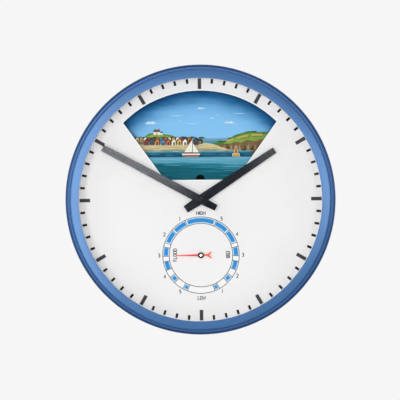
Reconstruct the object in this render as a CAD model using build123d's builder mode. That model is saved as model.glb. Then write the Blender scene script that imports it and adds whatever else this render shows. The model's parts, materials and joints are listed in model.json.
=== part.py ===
# Wall tide clock with a moving sea picture, in millimetres.
# X points right and Z up as seen by the viewer. The wall is the plane Y = 0 and the clock faces -Y,
# so a height off the wall is minus Y. The origin is where the hands' axis meets the wall.
import os
from math import acos, atan2, cos, degrees, hypot, radians, sin, sqrt

from build123d import *

os.makedirs("parts", exist_ok=True)

# Clearances
overrun = 1.0
running_clearance = 0.08
pivot_clearance = 0.05
seat_gap = 0.02
sliding_clearance = 0.3
panel_clearance = 0.3

# Case drum: a steel shell with a rolled front shoulder
case_radius = 150.0
sheet = 1.2
shoulder_width = 3.0
shoulder_drop = 4.5
ledge_width = 2.0
groove_width = 0.5
ledge_below_face = 4.0
rear_flange_width = 7.8

# Bezel ring, lens and gasket
bezel_height = 7.0
bezel_width = 9.7
bezel_lip = 3.0
bezel_fall = 1.3
bezel_crown = 0.16
bezel_edge_round = 1.5
lens_overlap = 3.2
lens_thickness = 2.0
gasket_thickness = 0.5
gasket_width = 2.0

# Dial stack, from the lens back to the chassis
spacer_height = 8.0
spacer_wall = 1.8
dial_thickness = 2.0
sea_to_dial = 1.0
sea_thickness = 1.5
chassis_to_dial = 8.0
chassis_thickness = 2.0
chassis_inset = 2.0

# Picture opening in the dial, its arc inside the spacer ring by the width of the numeral band
dial_band = 14.9
opening_half_angle = 44.8
opening_bottom = 22.0
opening_bottom_half = 39.3

# Picture board behind the opening
board_margin = 5.5
board_thickness = 1.5
board_bottom = 15.0
notch_width = 11.0
notch_top = 28.6

# Sea plate: slides up and down on its rails
sea_travel = 22.0
sea_top = 47.7
sea_side_margin = 6.4
sea_below_yoke = 10.0
slot_spare = 0.9
tube_slot_clearance = 0.95
crank_pin_radius = 3.5
corner_round = 3.0
cutout_thickness = 0.6
cutout_root = 6.0

# Boat cut-out
boat_x = -10.0
boat_length = 21.0
boat_draught = 3.6
boat_stem_rake = 3.0
boat_transom_rake = 1.6
mast_height = 16.0
mast_x = 1.5
boom_length = 9.5
jib_length = 7.5
sail_foot = 1.3
mast_half_width = 0.5

# Buoy cut-out
buoy_x = 40.0
buoy_width = 8.4
buoy_body_height = 3.2
buoy_cage_half = 2.6
buoy_cage_height = 6.5
buoy_cage_top_half = 1.1
buoy_lamp_radius = 1.5

# Guide rails
rail_width = 8.0
rail_overlap = 4.0
rail_bottom = -66.0
rail_top = 18.0

# Posts between back cover, chassis and dial
post_inset = 16.0
post_angles = (12.0, 168.0, 235.0, 305.0)
post_radius = 4.0
stud_radius = 1.5
stud_length = 6.0

# Countersunk screws
screw_radius = 1.5
screw_head_radius = 2.9
screw_head_height = 1.4
screw_length = 7.0
cover_screw_count = 6
cover_screw_start = 30.0
cross_width = 0.6
cross_length = 3.0
cross_depth = 0.7

# Back cover, with a recess for the access door
cover_thickness = 2.0
door_half_width = 31.0
door_above_clock = 36.0
door_below_tide = 38.0
door_corner = 4.0
door_ledge_side = 4.0
door_ledge_end = 8.0
door_ledge_outside = 3.0
door_ledge_height = 1.5
door_grip_below_top = 14.0
door_grip_width = 16.0
door_grip_height = 1.6
door_grip_depth = 0.8
door_grip_pitch = 3.2
door_grip_count = 3

# Hanger
keyhole_below_rim = 36.5
keyhole_radius = 5.0
keyhole_slot_radius = 2.2
keyhole_slot_rise = 9.0
keyhole_window_margin = 2.0
hanger_width = 44.0
hanger_height = 36.0
hanger_thickness = 1.5
hanger_corner = 4.0
rivet_radius = 1.5
rivet_head_radius = 2.8
rivet_head_height = 1.0
rivet_inset = 5.0

# Hands
hand_thickness = 0.6
hour_hand_height = 2.4
minute_hand_height = 4.0
hour_angle = 56.8
hour_tip_below_minute = 23.9
hour_tail = 19.7
hour_hub_width = 10.5
hour_tip_width = 7.0
hour_tail_width = 8.3
minute_angle = 298.4
minute_tip_gap = 13.3
minute_tail = 19.6
minute_hub_width = 8.8
minute_tip_width = 7.4
minute_tail_width = 6.9
cap_radius = 1.9
cap_height = 0.9
cap_round = 0.4

# Tide pointer
pointer_angle = 269.5
pointer_height = 1.0
pointer_thickness = 0.6
pointer_length = 28.0
pointer_root_width = 2.4
pointer_tip_width = 0.9
pointer_tail = 11.9
pointer_stem_width = 2.3
fork_half_span = 3.9
fork_start = 7.4
fork_notch = 2.5
fork_tip = 0.8
pointer_hub_radius = 3.1
pointer_cap_radius = 3.4
pointer_cap_height = 0.5

# Crank that lifts the sea plate
crank_gap = 0.8
crank_thickness = 1.2
crank_hub_radius = 6.0
crank_pin_gap = 0.3
crank_angle = 270.0

# Quartz movement, the same calibre for both axes: its box fits round the battery
movement_gap = 5.9
movement_wall = 1.2
movement_corner = 2.0
tube_radius = 4.0
clock_tube_length = 11.5
tide_tube_length = 4.8
tube_hole_clearance = 0.2
nut_across_flats = 13.0
nut_thickness = 2.5
partition_thickness = 0.8

# Battery
battery_radius = 7.1
battery_length = 50.5
battery_nub_radius = 2.7
battery_nub_length = 1.3
battery_depth_play = 0.6
battery_side_play = 0.2
contact_room = 1.55
contact_thickness = 0.5
contact_height = 9.0
contact_width = 8.0
contact_bump_radius = 2.0

# Motion work: arbor pinion, motion wheel and pinion, hour wheel, set pinion
motion_to_wall = 5.35
motion_to_shelf = 0.8
motion_direction = 0.0
set_direction = 60.0
arbor_teeth = 12
motion_teeth = 36
motion_pinion_teeth = 12
hour_teeth = 48
arbor_radius = 1.5
arbor_pivot_radius = 0.8
arbor_nose_radius = 1.0
tide_nose_radius = 1.3
pipe_radius = 2.5
motion_post_radius = 0.8
wheel_thickness = 1.0
motion_gap = 0.4
hour_wheel_gap = 0.4

# Going train: rotor, third wheel, centre wheel, and the angle they make at the third wheel
train_fold = 112.94
pinion_leaves = 6
centre_teeth = 48
third_teeth = 45
train_wheel_thickness = 0.8
train_arbor_radius = 0.5
centre_hub_radius = 2.4
train_plate_thickness = 0.8
plate_depth = 4.7
centre_wheel_depth = 6.2
third_wheel_depth = 8.2
rotor_radius = 3.0
rotor_height = 1.8
rotor_depth = 10.4

# Stepping motor
motor_x = -6.0
coil_to_wall = 0.2
stator_thickness = 1.2
stator_hole_gap = 0.4
stator_half_width = 10.0
stator_half_height = 4.6
stator_leg_width = 4.0
stator_leg_height = 7.5
core_height = 2.0
core_inset = 1.0
coil_radius = 3.2
coil_clearance = 0.3

# Circuit board
circuit_to_stator = 1.75
circuit_height = 11.0
circuit_thickness = 1.0
circuit_chip_radius = 2.5
circuit_chip_height = 0.8

# Set knob
knob_radius = 5.5
knob_height = 4.0
knob_gap = 1.0
knob_to_door = 1.5
knob_shaft_radius = 1.2
knob_flutes = 18
knob_flute_radius = 0.5

# Tooth form, as shares of the pitch and the module
tooth_root_share = 0.30
tooth_tip_share = 0.14
addendum_share = 0.9
dedendum_share = 1.2

# Movement sizes that follow from its battery
movement_size = battery_length + 2 * (contact_room + movement_wall)
movement_depth = 2 * battery_radius + battery_depth_play + movement_wall
inner_half = movement_size / 2 - movement_wall
battery_z = -(inner_half - battery_side_play - battery_radius)
partition_z = battery_z + battery_radius + battery_side_play + partition_thickness / 2
room_below = -(partition_z + partition_thickness / 2)

# Heights off the wall, worked out from the wall to the front face
movement_back = cover_thickness + knob_to_door + knob_height + knob_gap
chassis_back = movement_back + movement_depth
chassis_front = chassis_back + chassis_thickness
dial_back = chassis_front + chassis_to_dial
dial_front = dial_back + dial_thickness
lens_back = dial_front + spacer_height
lens_front = lens_back + lens_thickness
lip_back = lens_front + gasket_thickness
case_depth = lip_back + bezel_lip
bezel_seat = case_depth - bezel_height
sea_front = dial_back - sea_to_dial
sea_back = sea_front - sea_thickness
cutout_back = sea_back - cutout_thickness
crank_front = sea_back - crank_gap
crank_back = crank_front - crank_thickness
movement_inside = chassis_back - movement_wall
hour_hand_base = dial_front + hour_hand_height
minute_hand_base = dial_front + minute_hand_height
pointer_base = dial_front + pointer_height
pointer_front = pointer_base + pointer_thickness

# Heights inside a movement
train_plate_back = chassis_back - plate_depth - train_plate_thickness
train_plate_front = train_plate_back + train_plate_thickness
motion_wheel_back = train_plate_front + motion_gap
hour_wheel_front = movement_inside - hour_wheel_gap
hour_wheel_back = hour_wheel_front - wheel_thickness
centre_wheel_back = chassis_back - centre_wheel_depth - train_wheel_thickness
third_wheel_back = chassis_back - third_wheel_depth - train_wheel_thickness
rotor_back = chassis_back - rotor_depth - rotor_height
stator_back = rotor_back + (rotor_height - stator_thickness) / 2
movement_cover_front = movement_back + movement_wall

# Radii that follow from the case
inner_radius = case_radius - sheet
lip_radius = case_radius - shoulder_width - ledge_width
bezel_outer_radius = lip_radius - groove_width
bezel_inner_radius = bezel_outer_radius - bezel_width
lens_radius = bezel_inner_radius + lens_overlap
spacer_inner_radius = lens_radius - spacer_wall
rebate_radius = lens_radius + panel_clearance
chassis_radius = lens_radius - chassis_inset
post_circle = lens_radius - post_inset
cover_radius = inner_radius - panel_clearance
flange_middle = inner_radius - rear_flange_width / 2
keyhole_z = cover_radius - keyhole_below_rim
minute_length = spacer_inner_radius - minute_tip_gap
hour_length = minute_length - hour_tip_below_minute

# The picture opening and the sea plate behind it
opening_radius = spacer_inner_radius - dial_band
opening_corner_x = opening_radius * sin(radians(opening_half_angle))
opening_corner_z = opening_radius * cos(radians(opening_half_angle))
side_slope = (opening_corner_x - opening_bottom_half) / (opening_corner_z - opening_bottom)
sea_half_width = opening_bottom_half + (sea_top + sea_travel - opening_bottom) * side_slope + sea_side_margin
rail_x = sea_half_width + sliding_clearance - rail_overlap
tube_slot_width = 2 * (tube_radius + tube_slot_clearance)

# The tide axis lies straight below the hands' axis, and the access door reaches past both
tide_drop = movement_size + movement_gap
yoke_z = -tide_drop
door_top = door_above_clock
door_bottom = yoke_z - door_below_tide
door_middle = (door_top + door_bottom) / 2
door_height = door_top - door_bottom

# The motion wheel is as large as the wall beside it and the shelf below it allow
motion_reach_share = (motion_teeth + 2 * addendum_share) / (arbor_teeth + motion_teeth)
motion_distance = min(
    (inner_half - motion_to_wall) / (1 + motion_reach_share),
    (room_below - motion_to_shelf) / motion_reach_share,
)
motion_module = 2 * motion_distance / (arbor_teeth + motion_teeth)
hour_module = 2 * motion_distance / (motion_pinion_teeth + hour_teeth)
set_teeth = arbor_teeth

# Legs and core of the motor's stator, about the rotor, whose coil lies along the top wall
leg_x = stator_half_width - stator_leg_width / 2
core_z = stator_half_height + stator_leg_height - core_inset - core_height / 2
rotor_place = (motor_x, inner_half - coil_to_wall - coil_radius - core_z)
rotor_reach = hypot(*rotor_place)

# The going train spans from the centre to the rotor, folded at the third wheel
centre_half_teeth = (centre_teeth + pinion_leaves) / 2
rotor_half_teeth = (third_teeth + pinion_leaves) / 2
fold_share = 2 * cos(radians(train_fold))
train_module = rotor_reach / sqrt(
    centre_half_teeth**2 + rotor_half_teeth**2 - fold_share * centre_half_teeth * rotor_half_teeth
)
third_distance = train_module * centre_half_teeth
rotor_distance = train_module * rotor_half_teeth

# The circuit board fills the corner beside the motor
circuit_width = inner_half - pivot_clearance - motor_x - stator_half_width - circuit_to_stator


def step(start, distance, direction):
    """The point at a distance from start, in a direction in degrees."""
    return (start[0] + distance * cos(radians(direction)), start[1] + distance * sin(radians(direction)))


# The third wheel lies where it meets both the centre wheel and the rotor's pinion
centre_place = (0, 0)
motion_place = step(centre_place, motion_distance, motion_direction)
set_place = step(motion_place, motion_distance, set_direction)
rotor_bearing = degrees(atan2(rotor_place[1], rotor_place[0]))
third_swing = degrees(
    acos((third_distance**2 + rotor_reach**2 - rotor_distance**2) / (2 * third_distance * rotor_reach))
)
third_direction = rotor_bearing + third_swing
third_place = step(centre_place, third_distance, third_direction)
rotor_direction = degrees(atan2(rotor_place[1] - third_place[1], rotor_place[0] - third_place[0]))

# Places of the posts and screws, as X and Z
post_places = [step(centre_place, post_circle, angle) for angle in post_angles]
cover_screw_places = [
    step(centre_place, flange_middle, cover_screw_start + 360 * index / cover_screw_count)
    for index in range(cover_screw_count)
]
door_screw_places = [(0, door_top - door_ledge_end / 2), (0, door_bottom + door_ledge_end / 2)]


def level(height, x=0, z=0, turn=0):
    """A plane parallel to the wall, at a height off it, facing the viewer and turned anticlockwise."""
    across = (cos(radians(turn)), 0, sin(radians(turn)))
    return Plane(origin=(x, -height, z), x_dir=across, z_dir=(0, -1, 0))


# Half section of a turned piece: local x is the radius and local y the height off the wall
section = Plane(origin=(0, 0, 0), x_dir=(1, 0, 0), z_dir=(0, 0, -1))


def levels(height, places):
    """One plane at a height off the wall for each place."""
    return [level(height, x, z) for x, z in places]


def save(piece, name):
    """Label a finished piece and write its file."""
    piece.part.label = name
    export_step(piece.part, f"parts/{name}.step")


def gear_points(module, teeth, phase):
    """Corners of a toothed disc with one tooth centred on the phase angle."""
    pitch_radius = module * teeth / 2
    root = pitch_radius - dedendum_share * module
    tip = pitch_radius + addendum_share * module
    pitch = 360 / teeth
    corners = []
    for tooth in range(teeth):
        middle = phase + tooth * pitch
        corners.append(step((0, 0), root, middle - tooth_root_share * pitch))
        corners.append(step((0, 0), tip, middle - tooth_tip_share * pitch))
        corners.append(step((0, 0), tip, middle + tooth_tip_share * pitch))
        corners.append(step((0, 0), root, middle + tooth_root_share * pitch))
    return corners


def meshing_phase(direction, teeth):
    """Phase of a gear that shows a gap to a neighbour lying opposite the direction."""
    return direction + 180 + 180 / teeth


# Case drum
with BuildPart() as case_drum:
    with BuildSketch(section):
        with BuildLine():
            Line((case_radius, 0), (case_radius, case_depth - ledge_below_face - shoulder_drop))
            TangentArc(
                (case_radius, case_depth - ledge_below_face - shoulder_drop),
                (case_radius - shoulder_width, case_depth - ledge_below_face),
                tangent=(0, 1),
            )
            Polyline(
                (case_radius - shoulder_width, case_depth - ledge_below_face),
                (lip_radius, case_depth - ledge_below_face),
                (lip_radius, bezel_seat),
                (rebate_radius, bezel_seat),
                (rebate_radius, bezel_seat - sheet),
                (inner_radius, bezel_seat - sheet),
                (inner_radius, cover_thickness + sheet),
                (inner_radius - rear_flange_width, cover_thickness + sheet),
                (inner_radius - rear_flange_width, cover_thickness),
                (inner_radius, cover_thickness),
                (inner_radius, 0),
                (case_radius, 0),
            )
        make_face()
    revolve(axis=Axis.Y)
    with BuildSketch(level(cover_thickness)):
        with Locations(*cover_screw_places):
            Circle(screw_radius + seat_gap)
    extrude(amount=sheet, mode=Mode.SUBTRACT)
save(case_drum, "case_drum")

# Bezel ring: a broad face that falls away outward, with a rebate for the lens behind its lip
face_edge = case_depth - bezel_fall
round_x = bezel_outer_radius - bezel_edge_round
with BuildPart() as bezel_ring:
    with BuildSketch(section):
        with BuildLine():
            Line((rebate_radius, bezel_seat), (rebate_radius, lip_back))
            Line((rebate_radius, lip_back), (bezel_inner_radius, lip_back))
            Line((bezel_inner_radius, lip_back), (bezel_inner_radius, case_depth))
            face = ThreePointArc(
                (bezel_inner_radius, case_depth),
                ((bezel_inner_radius + round_x) / 2, (case_depth + face_edge) / 2 + bezel_crown),
                (round_x, face_edge),
            )
            edge = TangentArc(
                (round_x, face_edge), (bezel_outer_radius, face_edge - bezel_edge_round), tangent=face % 1
            )
            Line(edge @ 1, (bezel_outer_radius, bezel_seat))
            Line((bezel_outer_radius, bezel_seat), (rebate_radius, bezel_seat))
        make_face()
    revolve(axis=Axis.Y)
save(bezel_ring, "bezel_ring")

# Lens gasket
with BuildPart() as lens_gasket:
    with BuildSketch(level(lens_front)):
        Circle(lens_radius)
        Circle(lens_radius - gasket_width, mode=Mode.SUBTRACT)
    extrude(amount=gasket_thickness)
save(lens_gasket, "lens_gasket")

# Lens
with BuildPart() as lens:
    with BuildSketch(level(lens_back)):
        Circle(lens_radius)
    extrude(amount=lens_thickness)
save(lens, "lens")

# Spacer ring between the lens and the dial
with BuildPart() as spacer_ring:
    with BuildSketch(level(dial_front)):
        Circle(lens_radius)
        Circle(spacer_inner_radius, mode=Mode.SUBTRACT)
    extrude(amount=spacer_height)
save(spacer_ring, "spacer_ring")


def fan_lines(margin, bottom):
    """Outline of the picture opening, grown by a margin, down to a bottom edge."""
    radius = opening_radius + margin
    half_angle = radians(opening_half_angle) + margin / radius
    bottom_x = opening_bottom_half + margin * sqrt(1 + side_slope**2) + (bottom - opening_bottom) * side_slope
    top_x = radius * sin(half_angle)
    top_z = radius * cos(half_angle)
    Line((-bottom_x, bottom), (bottom_x, bottom))
    Line((bottom_x, bottom), (top_x, top_z))
    ThreePointArc((top_x, top_z), (0, radius), (-top_x, top_z))
    Line((-top_x, top_z), (-bottom_x, bottom))


# Dial plate with the picture opening and the two arbor holes
with BuildPart() as dial_plate:
    with BuildSketch(level(dial_back)):
        Circle(lens_radius)
        with BuildLine():
            fan_lines(0, opening_bottom)
        make_face(mode=Mode.SUBTRACT)
        Circle(tube_slot_width / 2, mode=Mode.SUBTRACT)
        with Locations((0, yoke_z)):
            Circle(pipe_radius + sliding_clearance, mode=Mode.SUBTRACT)
    extrude(amount=dial_thickness)
save(dial_plate, "dial_plate")

# Sea plate: slots clear the hand tube and the tide pipe, and the level slot is the crank's yoke
with BuildPart() as sea_plate:
    with BuildSketch(level(sea_back)):
        with Locations((0, (sea_top + yoke_z - sea_below_yoke) / 2)):
            Rectangle(2 * sea_half_width, sea_top - yoke_z + sea_below_yoke)
        SlotCenterToCenter(
            2 * (sea_travel + slot_spare), tube_slot_width, rotation=90, mode=Mode.SUBTRACT
        )
        with Locations((0, yoke_z)):
            SlotCenterToCenter(
                2 * (sea_travel + slot_spare),
                2 * (crank_pin_radius + running_clearance),
                mode=Mode.SUBTRACT,
            )
        pipe_slot = 2 * (pipe_radius + running_clearance)
        with Locations((0, yoke_z + sea_travel)):
            Circle(pipe_slot / 2, mode=Mode.SUBTRACT)
            Rectangle(pipe_slot, 3 * sea_travel, align=(Align.CENTER, Align.MAX), mode=Mode.SUBTRACT)
    extrude(amount=sea_thickness)
    fillet(
        sea_plate.edges().filter_by(Axis.Y).group_by(Axis.X)[0].sort_by(Axis.Z)[:1]
        + sea_plate.edges().filter_by(Axis.Y).group_by(Axis.X)[-1].sort_by(Axis.Z)[:1],
        corner_round,
    )
save(sea_plate, "sea_plate")

# Boat cut-out: a sailing dinghy with a tab behind the top edge of the sea plate
with BuildPart() as boat_cutout:
    with BuildSketch(level(cutout_back, boat_x, sea_top)):
        half = boat_length / 2
        Polygon(
            (-half + boat_transom_rake, -cutout_root),
            (half - boat_stem_rake, -cutout_root),
            (half - boat_stem_rake, 0),
            (half, boat_draught),
            (-half, boat_draught),
            (-half + boat_transom_rake, 0),
            align=None,
        )
        with Locations((mast_x, 0)):
            Rectangle(2 * mast_half_width, boat_draught + mast_height, align=(Align.CENTER, Align.MIN))
        sail_base = boat_draught + sail_foot
        Polygon(
            (mast_x - boom_length, sail_base),
            (mast_x, sail_base),
            (mast_x, boat_draught + mast_height),
            align=None,
        )
        Polygon(
            (mast_x, sail_base),
            (mast_x + jib_length, sail_base),
            (mast_x, mast_height),
            align=None,
        )
    extrude(amount=cutout_thickness)
save(boat_cutout, "boat_cutout")

# Buoy cut-out: a squat float with a tapered cage and a lamp
with BuildPart() as buoy_cutout:
    with BuildSketch(level(cutout_back, buoy_x, sea_top)):
        Polygon(
            (-buoy_width / 2, -cutout_root),
            (buoy_width / 2, -cutout_root),
            (buoy_width / 2, buoy_body_height),
            (buoy_cage_half, buoy_body_height),
            (buoy_cage_top_half, buoy_body_height + buoy_cage_height),
            (-buoy_cage_top_half, buoy_body_height + buoy_cage_height),
            (-buoy_cage_half, buoy_body_height),
            (-buoy_width / 2, buoy_body_height),
            align=None,
        )
        with Locations((0, buoy_body_height + buoy_cage_height + buoy_lamp_radius / 2)):
            Circle(buoy_lamp_radius)
    extrude(amount=cutout_thickness)
save(buoy_cutout, "buoy_cutout")

# Picture board, notched to clear the hand tube's nut
with BuildPart() as picture_board:
    with BuildSketch(level(chassis_front)):
        with BuildLine():
            fan_lines(board_margin, board_bottom)
        make_face()
        notch_centre = notch_top - notch_width / 2
        with Locations((0, notch_centre)):
            Circle(notch_width / 2, mode=Mode.SUBTRACT)
            Rectangle(notch_width, notch_top, align=(Align.CENTER, Align.MAX), mode=Mode.SUBTRACT)
    extrude(amount=board_thickness)
save(picture_board, "picture_board")

# Chassis plate: carries both movements, the rails and the picture board
with BuildPart() as chassis_plate:
    with BuildSketch(level(chassis_back)):
        Circle(chassis_radius)
        with Locations((0, 0), (0, yoke_z)):
            Circle(tube_radius + tube_hole_clearance, mode=Mode.SUBTRACT)
        with Locations(*post_places):
            Circle(stud_radius + seat_gap, mode=Mode.SUBTRACT)
    extrude(amount=chassis_thickness)
save(chassis_plate, "chassis_plate")


def guide_rail(side):
    """Channel rail at one side of the sea plate: side is -1 for left and 1 for right."""
    middle = side * (rail_x + rail_width / 2)
    groove_middle = side * (rail_x + rail_overlap / 2)
    groove_back = sea_back - sliding_clearance
    groove_depth = sea_thickness + 2 * sliding_clearance
    with BuildPart() as rail:
        with BuildSketch(level(chassis_front, middle, (rail_top + rail_bottom) / 2)):
            Rectangle(rail_width, rail_top - rail_bottom)
        extrude(amount=chassis_to_dial)
        with BuildSketch(level(groove_back, groove_middle, (rail_top + rail_bottom) / 2)):
            Rectangle(rail_overlap, rail_top - rail_bottom)
        extrude(amount=groove_depth, mode=Mode.SUBTRACT)
    return rail


save(guide_rail(-1), "guide_rail_left")
save(guide_rail(1), "guide_rail_right")

# Front posts between the chassis and the dial, each with a stud through the chassis
with BuildPart() as dial_posts:
    with BuildSketch(level(chassis_front)):
        with Locations(*post_places):
            Circle(post_radius)
    extrude(amount=chassis_to_dial)
    with BuildSketch(level(chassis_front - stud_length)):
        with Locations(*post_places):
            Circle(stud_radius)
    extrude(amount=stud_length)
save(dial_posts, "dial_posts")

# Rear posts between the back cover and the chassis, bored for the studs and screws
with BuildPart() as rear_posts:
    with BuildSketch(level(cover_thickness)):
        with Locations(*post_places):
            Circle(post_radius)
    extrude(amount=chassis_back - cover_thickness)
    with BuildSketch(level(chassis_back)):
        with Locations(*post_places):
            Circle(stud_radius + seat_gap)
    extrude(amount=-(stud_length - chassis_thickness + overrun), mode=Mode.SUBTRACT)
    with BuildSketch(level(cover_thickness)):
        with Locations(*post_places):
            Circle(screw_radius + seat_gap)
    extrude(amount=screw_length - cover_thickness + overrun, mode=Mode.SUBTRACT)
save(rear_posts, "rear_posts")


def countersunk_screws(places):
    """Cross-head screws with their heads flush in the back of the clock."""
    with BuildPart() as screws:
        with Locations(*levels(0, places)):
            Cone(
                screw_head_radius, screw_radius, screw_head_height,
                align=(Align.CENTER, Align.CENTER, Align.MIN),
            )
            Cylinder(screw_radius, screw_length, align=(Align.CENTER, Align.CENTER, Align.MIN))
            for length, width in ((cross_length, cross_width), (cross_width, cross_length)):
                Box(
                    length, width, cross_depth,
                    align=(Align.CENTER, Align.CENTER, Align.MIN),
                    mode=Mode.SUBTRACT,
                )
    return screws


def cut_screw_seats(places):
    """Cut countersunk holes for the screws into the part being built."""
    with Locations(*levels(0, places)):
        Cone(
            screw_head_radius + seat_gap, screw_radius + seat_gap, screw_head_height,
            align=(Align.CENTER, Align.CENTER, Align.MIN),
            mode=Mode.SUBTRACT,
        )
        Cylinder(
            screw_radius + seat_gap, screw_length,
            align=(Align.CENTER, Align.CENTER, Align.MIN),
            mode=Mode.SUBTRACT,
        )


save(countersunk_screws(post_places), "post_screws")
save(countersunk_screws(cover_screw_places), "cover_screws")
save(countersunk_screws(door_screw_places), "door_screws")

# Back cover, with the door window, its ledge and the window over the keyhole
rivet_places = [
    (x, keyhole_z + keyhole_slot_rise / 2 + z)
    for x in (rivet_inset - hanger_width / 2, hanger_width / 2 - rivet_inset)
    for z in (rivet_inset - hanger_height / 2, hanger_height / 2 - rivet_inset)
]
with BuildPart() as back_cover:
    with BuildSketch(level(0)):
        Circle(cover_radius)
    extrude(amount=cover_thickness)
    with BuildSketch(level(cover_thickness, 0, door_middle)):
        RectangleRounded(
            2 * (door_half_width + door_ledge_outside), door_height + 2 * door_ledge_outside, door_corner
        )
    extrude(amount=door_ledge_height)
    with BuildSketch(level(0, 0, door_middle)):
        RectangleRounded(2 * door_half_width, door_height, door_corner)
    extrude(amount=cover_thickness, mode=Mode.SUBTRACT)
    with BuildSketch(level(cover_thickness, 0, door_middle)):
        RectangleRounded(
            2 * (door_half_width - door_ledge_side), door_height - 2 * door_ledge_end, door_corner
        )
    extrude(amount=door_ledge_height, mode=Mode.SUBTRACT)
    with BuildSketch(level(0, 0, keyhole_z + keyhole_slot_rise / 2)):
        SlotCenterToCenter(
            keyhole_slot_rise, 2 * (keyhole_radius + keyhole_window_margin), rotation=90
        )
    extrude(amount=cover_thickness, mode=Mode.SUBTRACT)
    with BuildSketch(level(0)):
        with Locations(*rivet_places):
            Circle(rivet_radius + seat_gap)
    extrude(amount=cover_thickness, mode=Mode.SUBTRACT)
    cut_screw_seats(post_places)
    cut_screw_seats(cover_screw_places)
    cut_screw_seats(door_screw_places)
save(back_cover, "back_cover")

# Access door over both movements, with finger grooves
with BuildPart() as access_door:
    with BuildSketch(level(0, 0, door_middle)):
        RectangleRounded(
            2 * (door_half_width - panel_clearance), door_height - 2 * panel_clearance, door_corner
        )
    extrude(amount=cover_thickness)
    with BuildSketch(level(0, 0, door_top - door_grip_below_top)):
        with GridLocations(0, door_grip_pitch, 1, door_grip_count):
            SlotOverall(door_grip_width, door_grip_height)
    extrude(amount=door_grip_depth, mode=Mode.SUBTRACT)
    cut_screw_seats(door_screw_places)
save(access_door, "access_door")

# Hanger plate with the keyhole, riveted inside the back cover
with BuildPart() as hanger_plate:
    with BuildSketch(level(cover_thickness, 0, keyhole_z)):
        with Locations((0, keyhole_slot_rise / 2)):
            RectangleRounded(hanger_width, hanger_height, hanger_corner)
        Circle(keyhole_radius, mode=Mode.SUBTRACT)
        with Locations((0, keyhole_slot_rise)):
            Circle(keyhole_slot_radius, mode=Mode.SUBTRACT)
            Rectangle(
                2 * keyhole_slot_radius, keyhole_slot_rise,
                align=(Align.CENTER, Align.MAX),
                mode=Mode.SUBTRACT,
            )
    extrude(amount=hanger_thickness)
    with BuildSketch(level(cover_thickness)):
        with Locations(*rivet_places):
            Circle(rivet_radius + seat_gap)
    extrude(amount=hanger_thickness, mode=Mode.SUBTRACT)
save(hanger_plate, "hanger_plate")

# Hanger rivets, flush at the back
with BuildPart() as hanger_rivets:
    with BuildSketch(level(0)):
        with Locations(*rivet_places):
            Circle(rivet_radius)
    extrude(amount=cover_thickness + hanger_thickness)
    with BuildSketch(level(cover_thickness + hanger_thickness)):
        with Locations(*rivet_places):
            Circle(rivet_head_radius)
    extrude(amount=rivet_head_height)
save(hanger_rivets, "hanger_rivets")


def clock_hand(base, angle, lengths, widths, bore):
    """Tapered square-ended hand: lengths are tip and tail, widths are hub, tip and tail."""
    length, tail = lengths
    hub_width, tip_width, tail_width = widths
    with BuildPart() as hand:
        with BuildSketch(level(base, turn=-angle)):
            Polygon(
                (-tail_width / 2, -tail),
                (tail_width / 2, -tail),
                (hub_width / 2, 0),
                (tip_width / 2, length),
                (-tip_width / 2, length),
                (-hub_width / 2, 0),
                align=None,
            )
            Circle(bore, mode=Mode.SUBTRACT)
        extrude(amount=hand_thickness)
    return hand


save(
    clock_hand(
        hour_hand_base, hour_angle, (hour_length, hour_tail),
        (hour_hub_width, hour_tip_width, hour_tail_width), pipe_radius + seat_gap,
    ),
    "hour_hand",
)
save(
    clock_hand(
        minute_hand_base, minute_angle, (minute_length, minute_tail),
        (minute_hub_width, minute_tip_width, minute_tail_width), arbor_nose_radius + seat_gap,
    ),
    "minute_hand",
)

# Cap nut on the end of the hand arbor
minute_hand_front = minute_hand_base + hand_thickness
with BuildPart() as hand_cap_nut:
    with BuildSketch(level(minute_hand_front)):
        Circle(cap_radius)
        Circle(arbor_nose_radius + seat_gap, mode=Mode.SUBTRACT)
    extrude(amount=cap_height)
    fillet(hand_cap_nut.faces().sort_by(Axis.Y)[0].edges().sort_by(SortBy.RADIUS)[-1], cap_round)
save(hand_cap_nut, "hand_cap_nut")

# Tide pointer: a slim needle with a fish-tail counterweight
with BuildPart() as tide_pointer:
    with BuildSketch(level(pointer_base, 0, yoke_z, turn=-pointer_angle)):
        Polygon(
            (-pointer_root_width / 2, 0),
            (pointer_root_width / 2, 0),
            (pointer_tip_width / 2, pointer_length),
            (-pointer_tip_width / 2, pointer_length),
            align=None,
        )
        Polygon(
            (pointer_stem_width / 2, 0),
            (-pointer_stem_width / 2, 0),
            (-pointer_stem_width / 2, -fork_start),
            (-fork_half_span, fork_tip - pointer_tail),
            (fork_tip - fork_half_span, -pointer_tail),
            (0, fork_notch - pointer_tail),
            (fork_half_span - fork_tip, -pointer_tail),
            (fork_half_span, fork_tip - pointer_tail),
            (pointer_stem_width / 2, -fork_start),
            align=None,
        )
        Circle(pointer_hub_radius)
        Circle(pipe_radius + seat_gap, mode=Mode.SUBTRACT)
    extrude(amount=pointer_thickness)
save(tide_pointer, "tide_pointer")

# Cap over the pointer's hub
with BuildPart() as pointer_cap:
    with BuildSketch(level(pointer_front, 0, yoke_z)):
        Circle(pointer_cap_radius)
        Circle(tide_nose_radius + running_clearance, mode=Mode.SUBTRACT)
    extrude(amount=pointer_cap_height)
save(pointer_cap, "pointer_cap")

# Crank on the tide pipe: its pin works the yoke slot of the sea plate
with BuildPart() as tide_crank:
    with BuildSketch(level(crank_back, 0, yoke_z, turn=-crank_angle)):
        Circle(crank_hub_radius)
        with Locations((0, sea_travel)):
            Circle(crank_pin_radius)
        make_hull()
        Circle(pipe_radius + seat_gap, mode=Mode.SUBTRACT)
    extrude(amount=crank_thickness)
    with BuildSketch(level(crank_front, 0, yoke_z, turn=-crank_angle)):
        with Locations((0, sea_travel)):
            Circle(crank_pin_radius)
    extrude(amount=crank_gap - crank_pin_gap)
save(tide_crank, "tide_crank")


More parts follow.
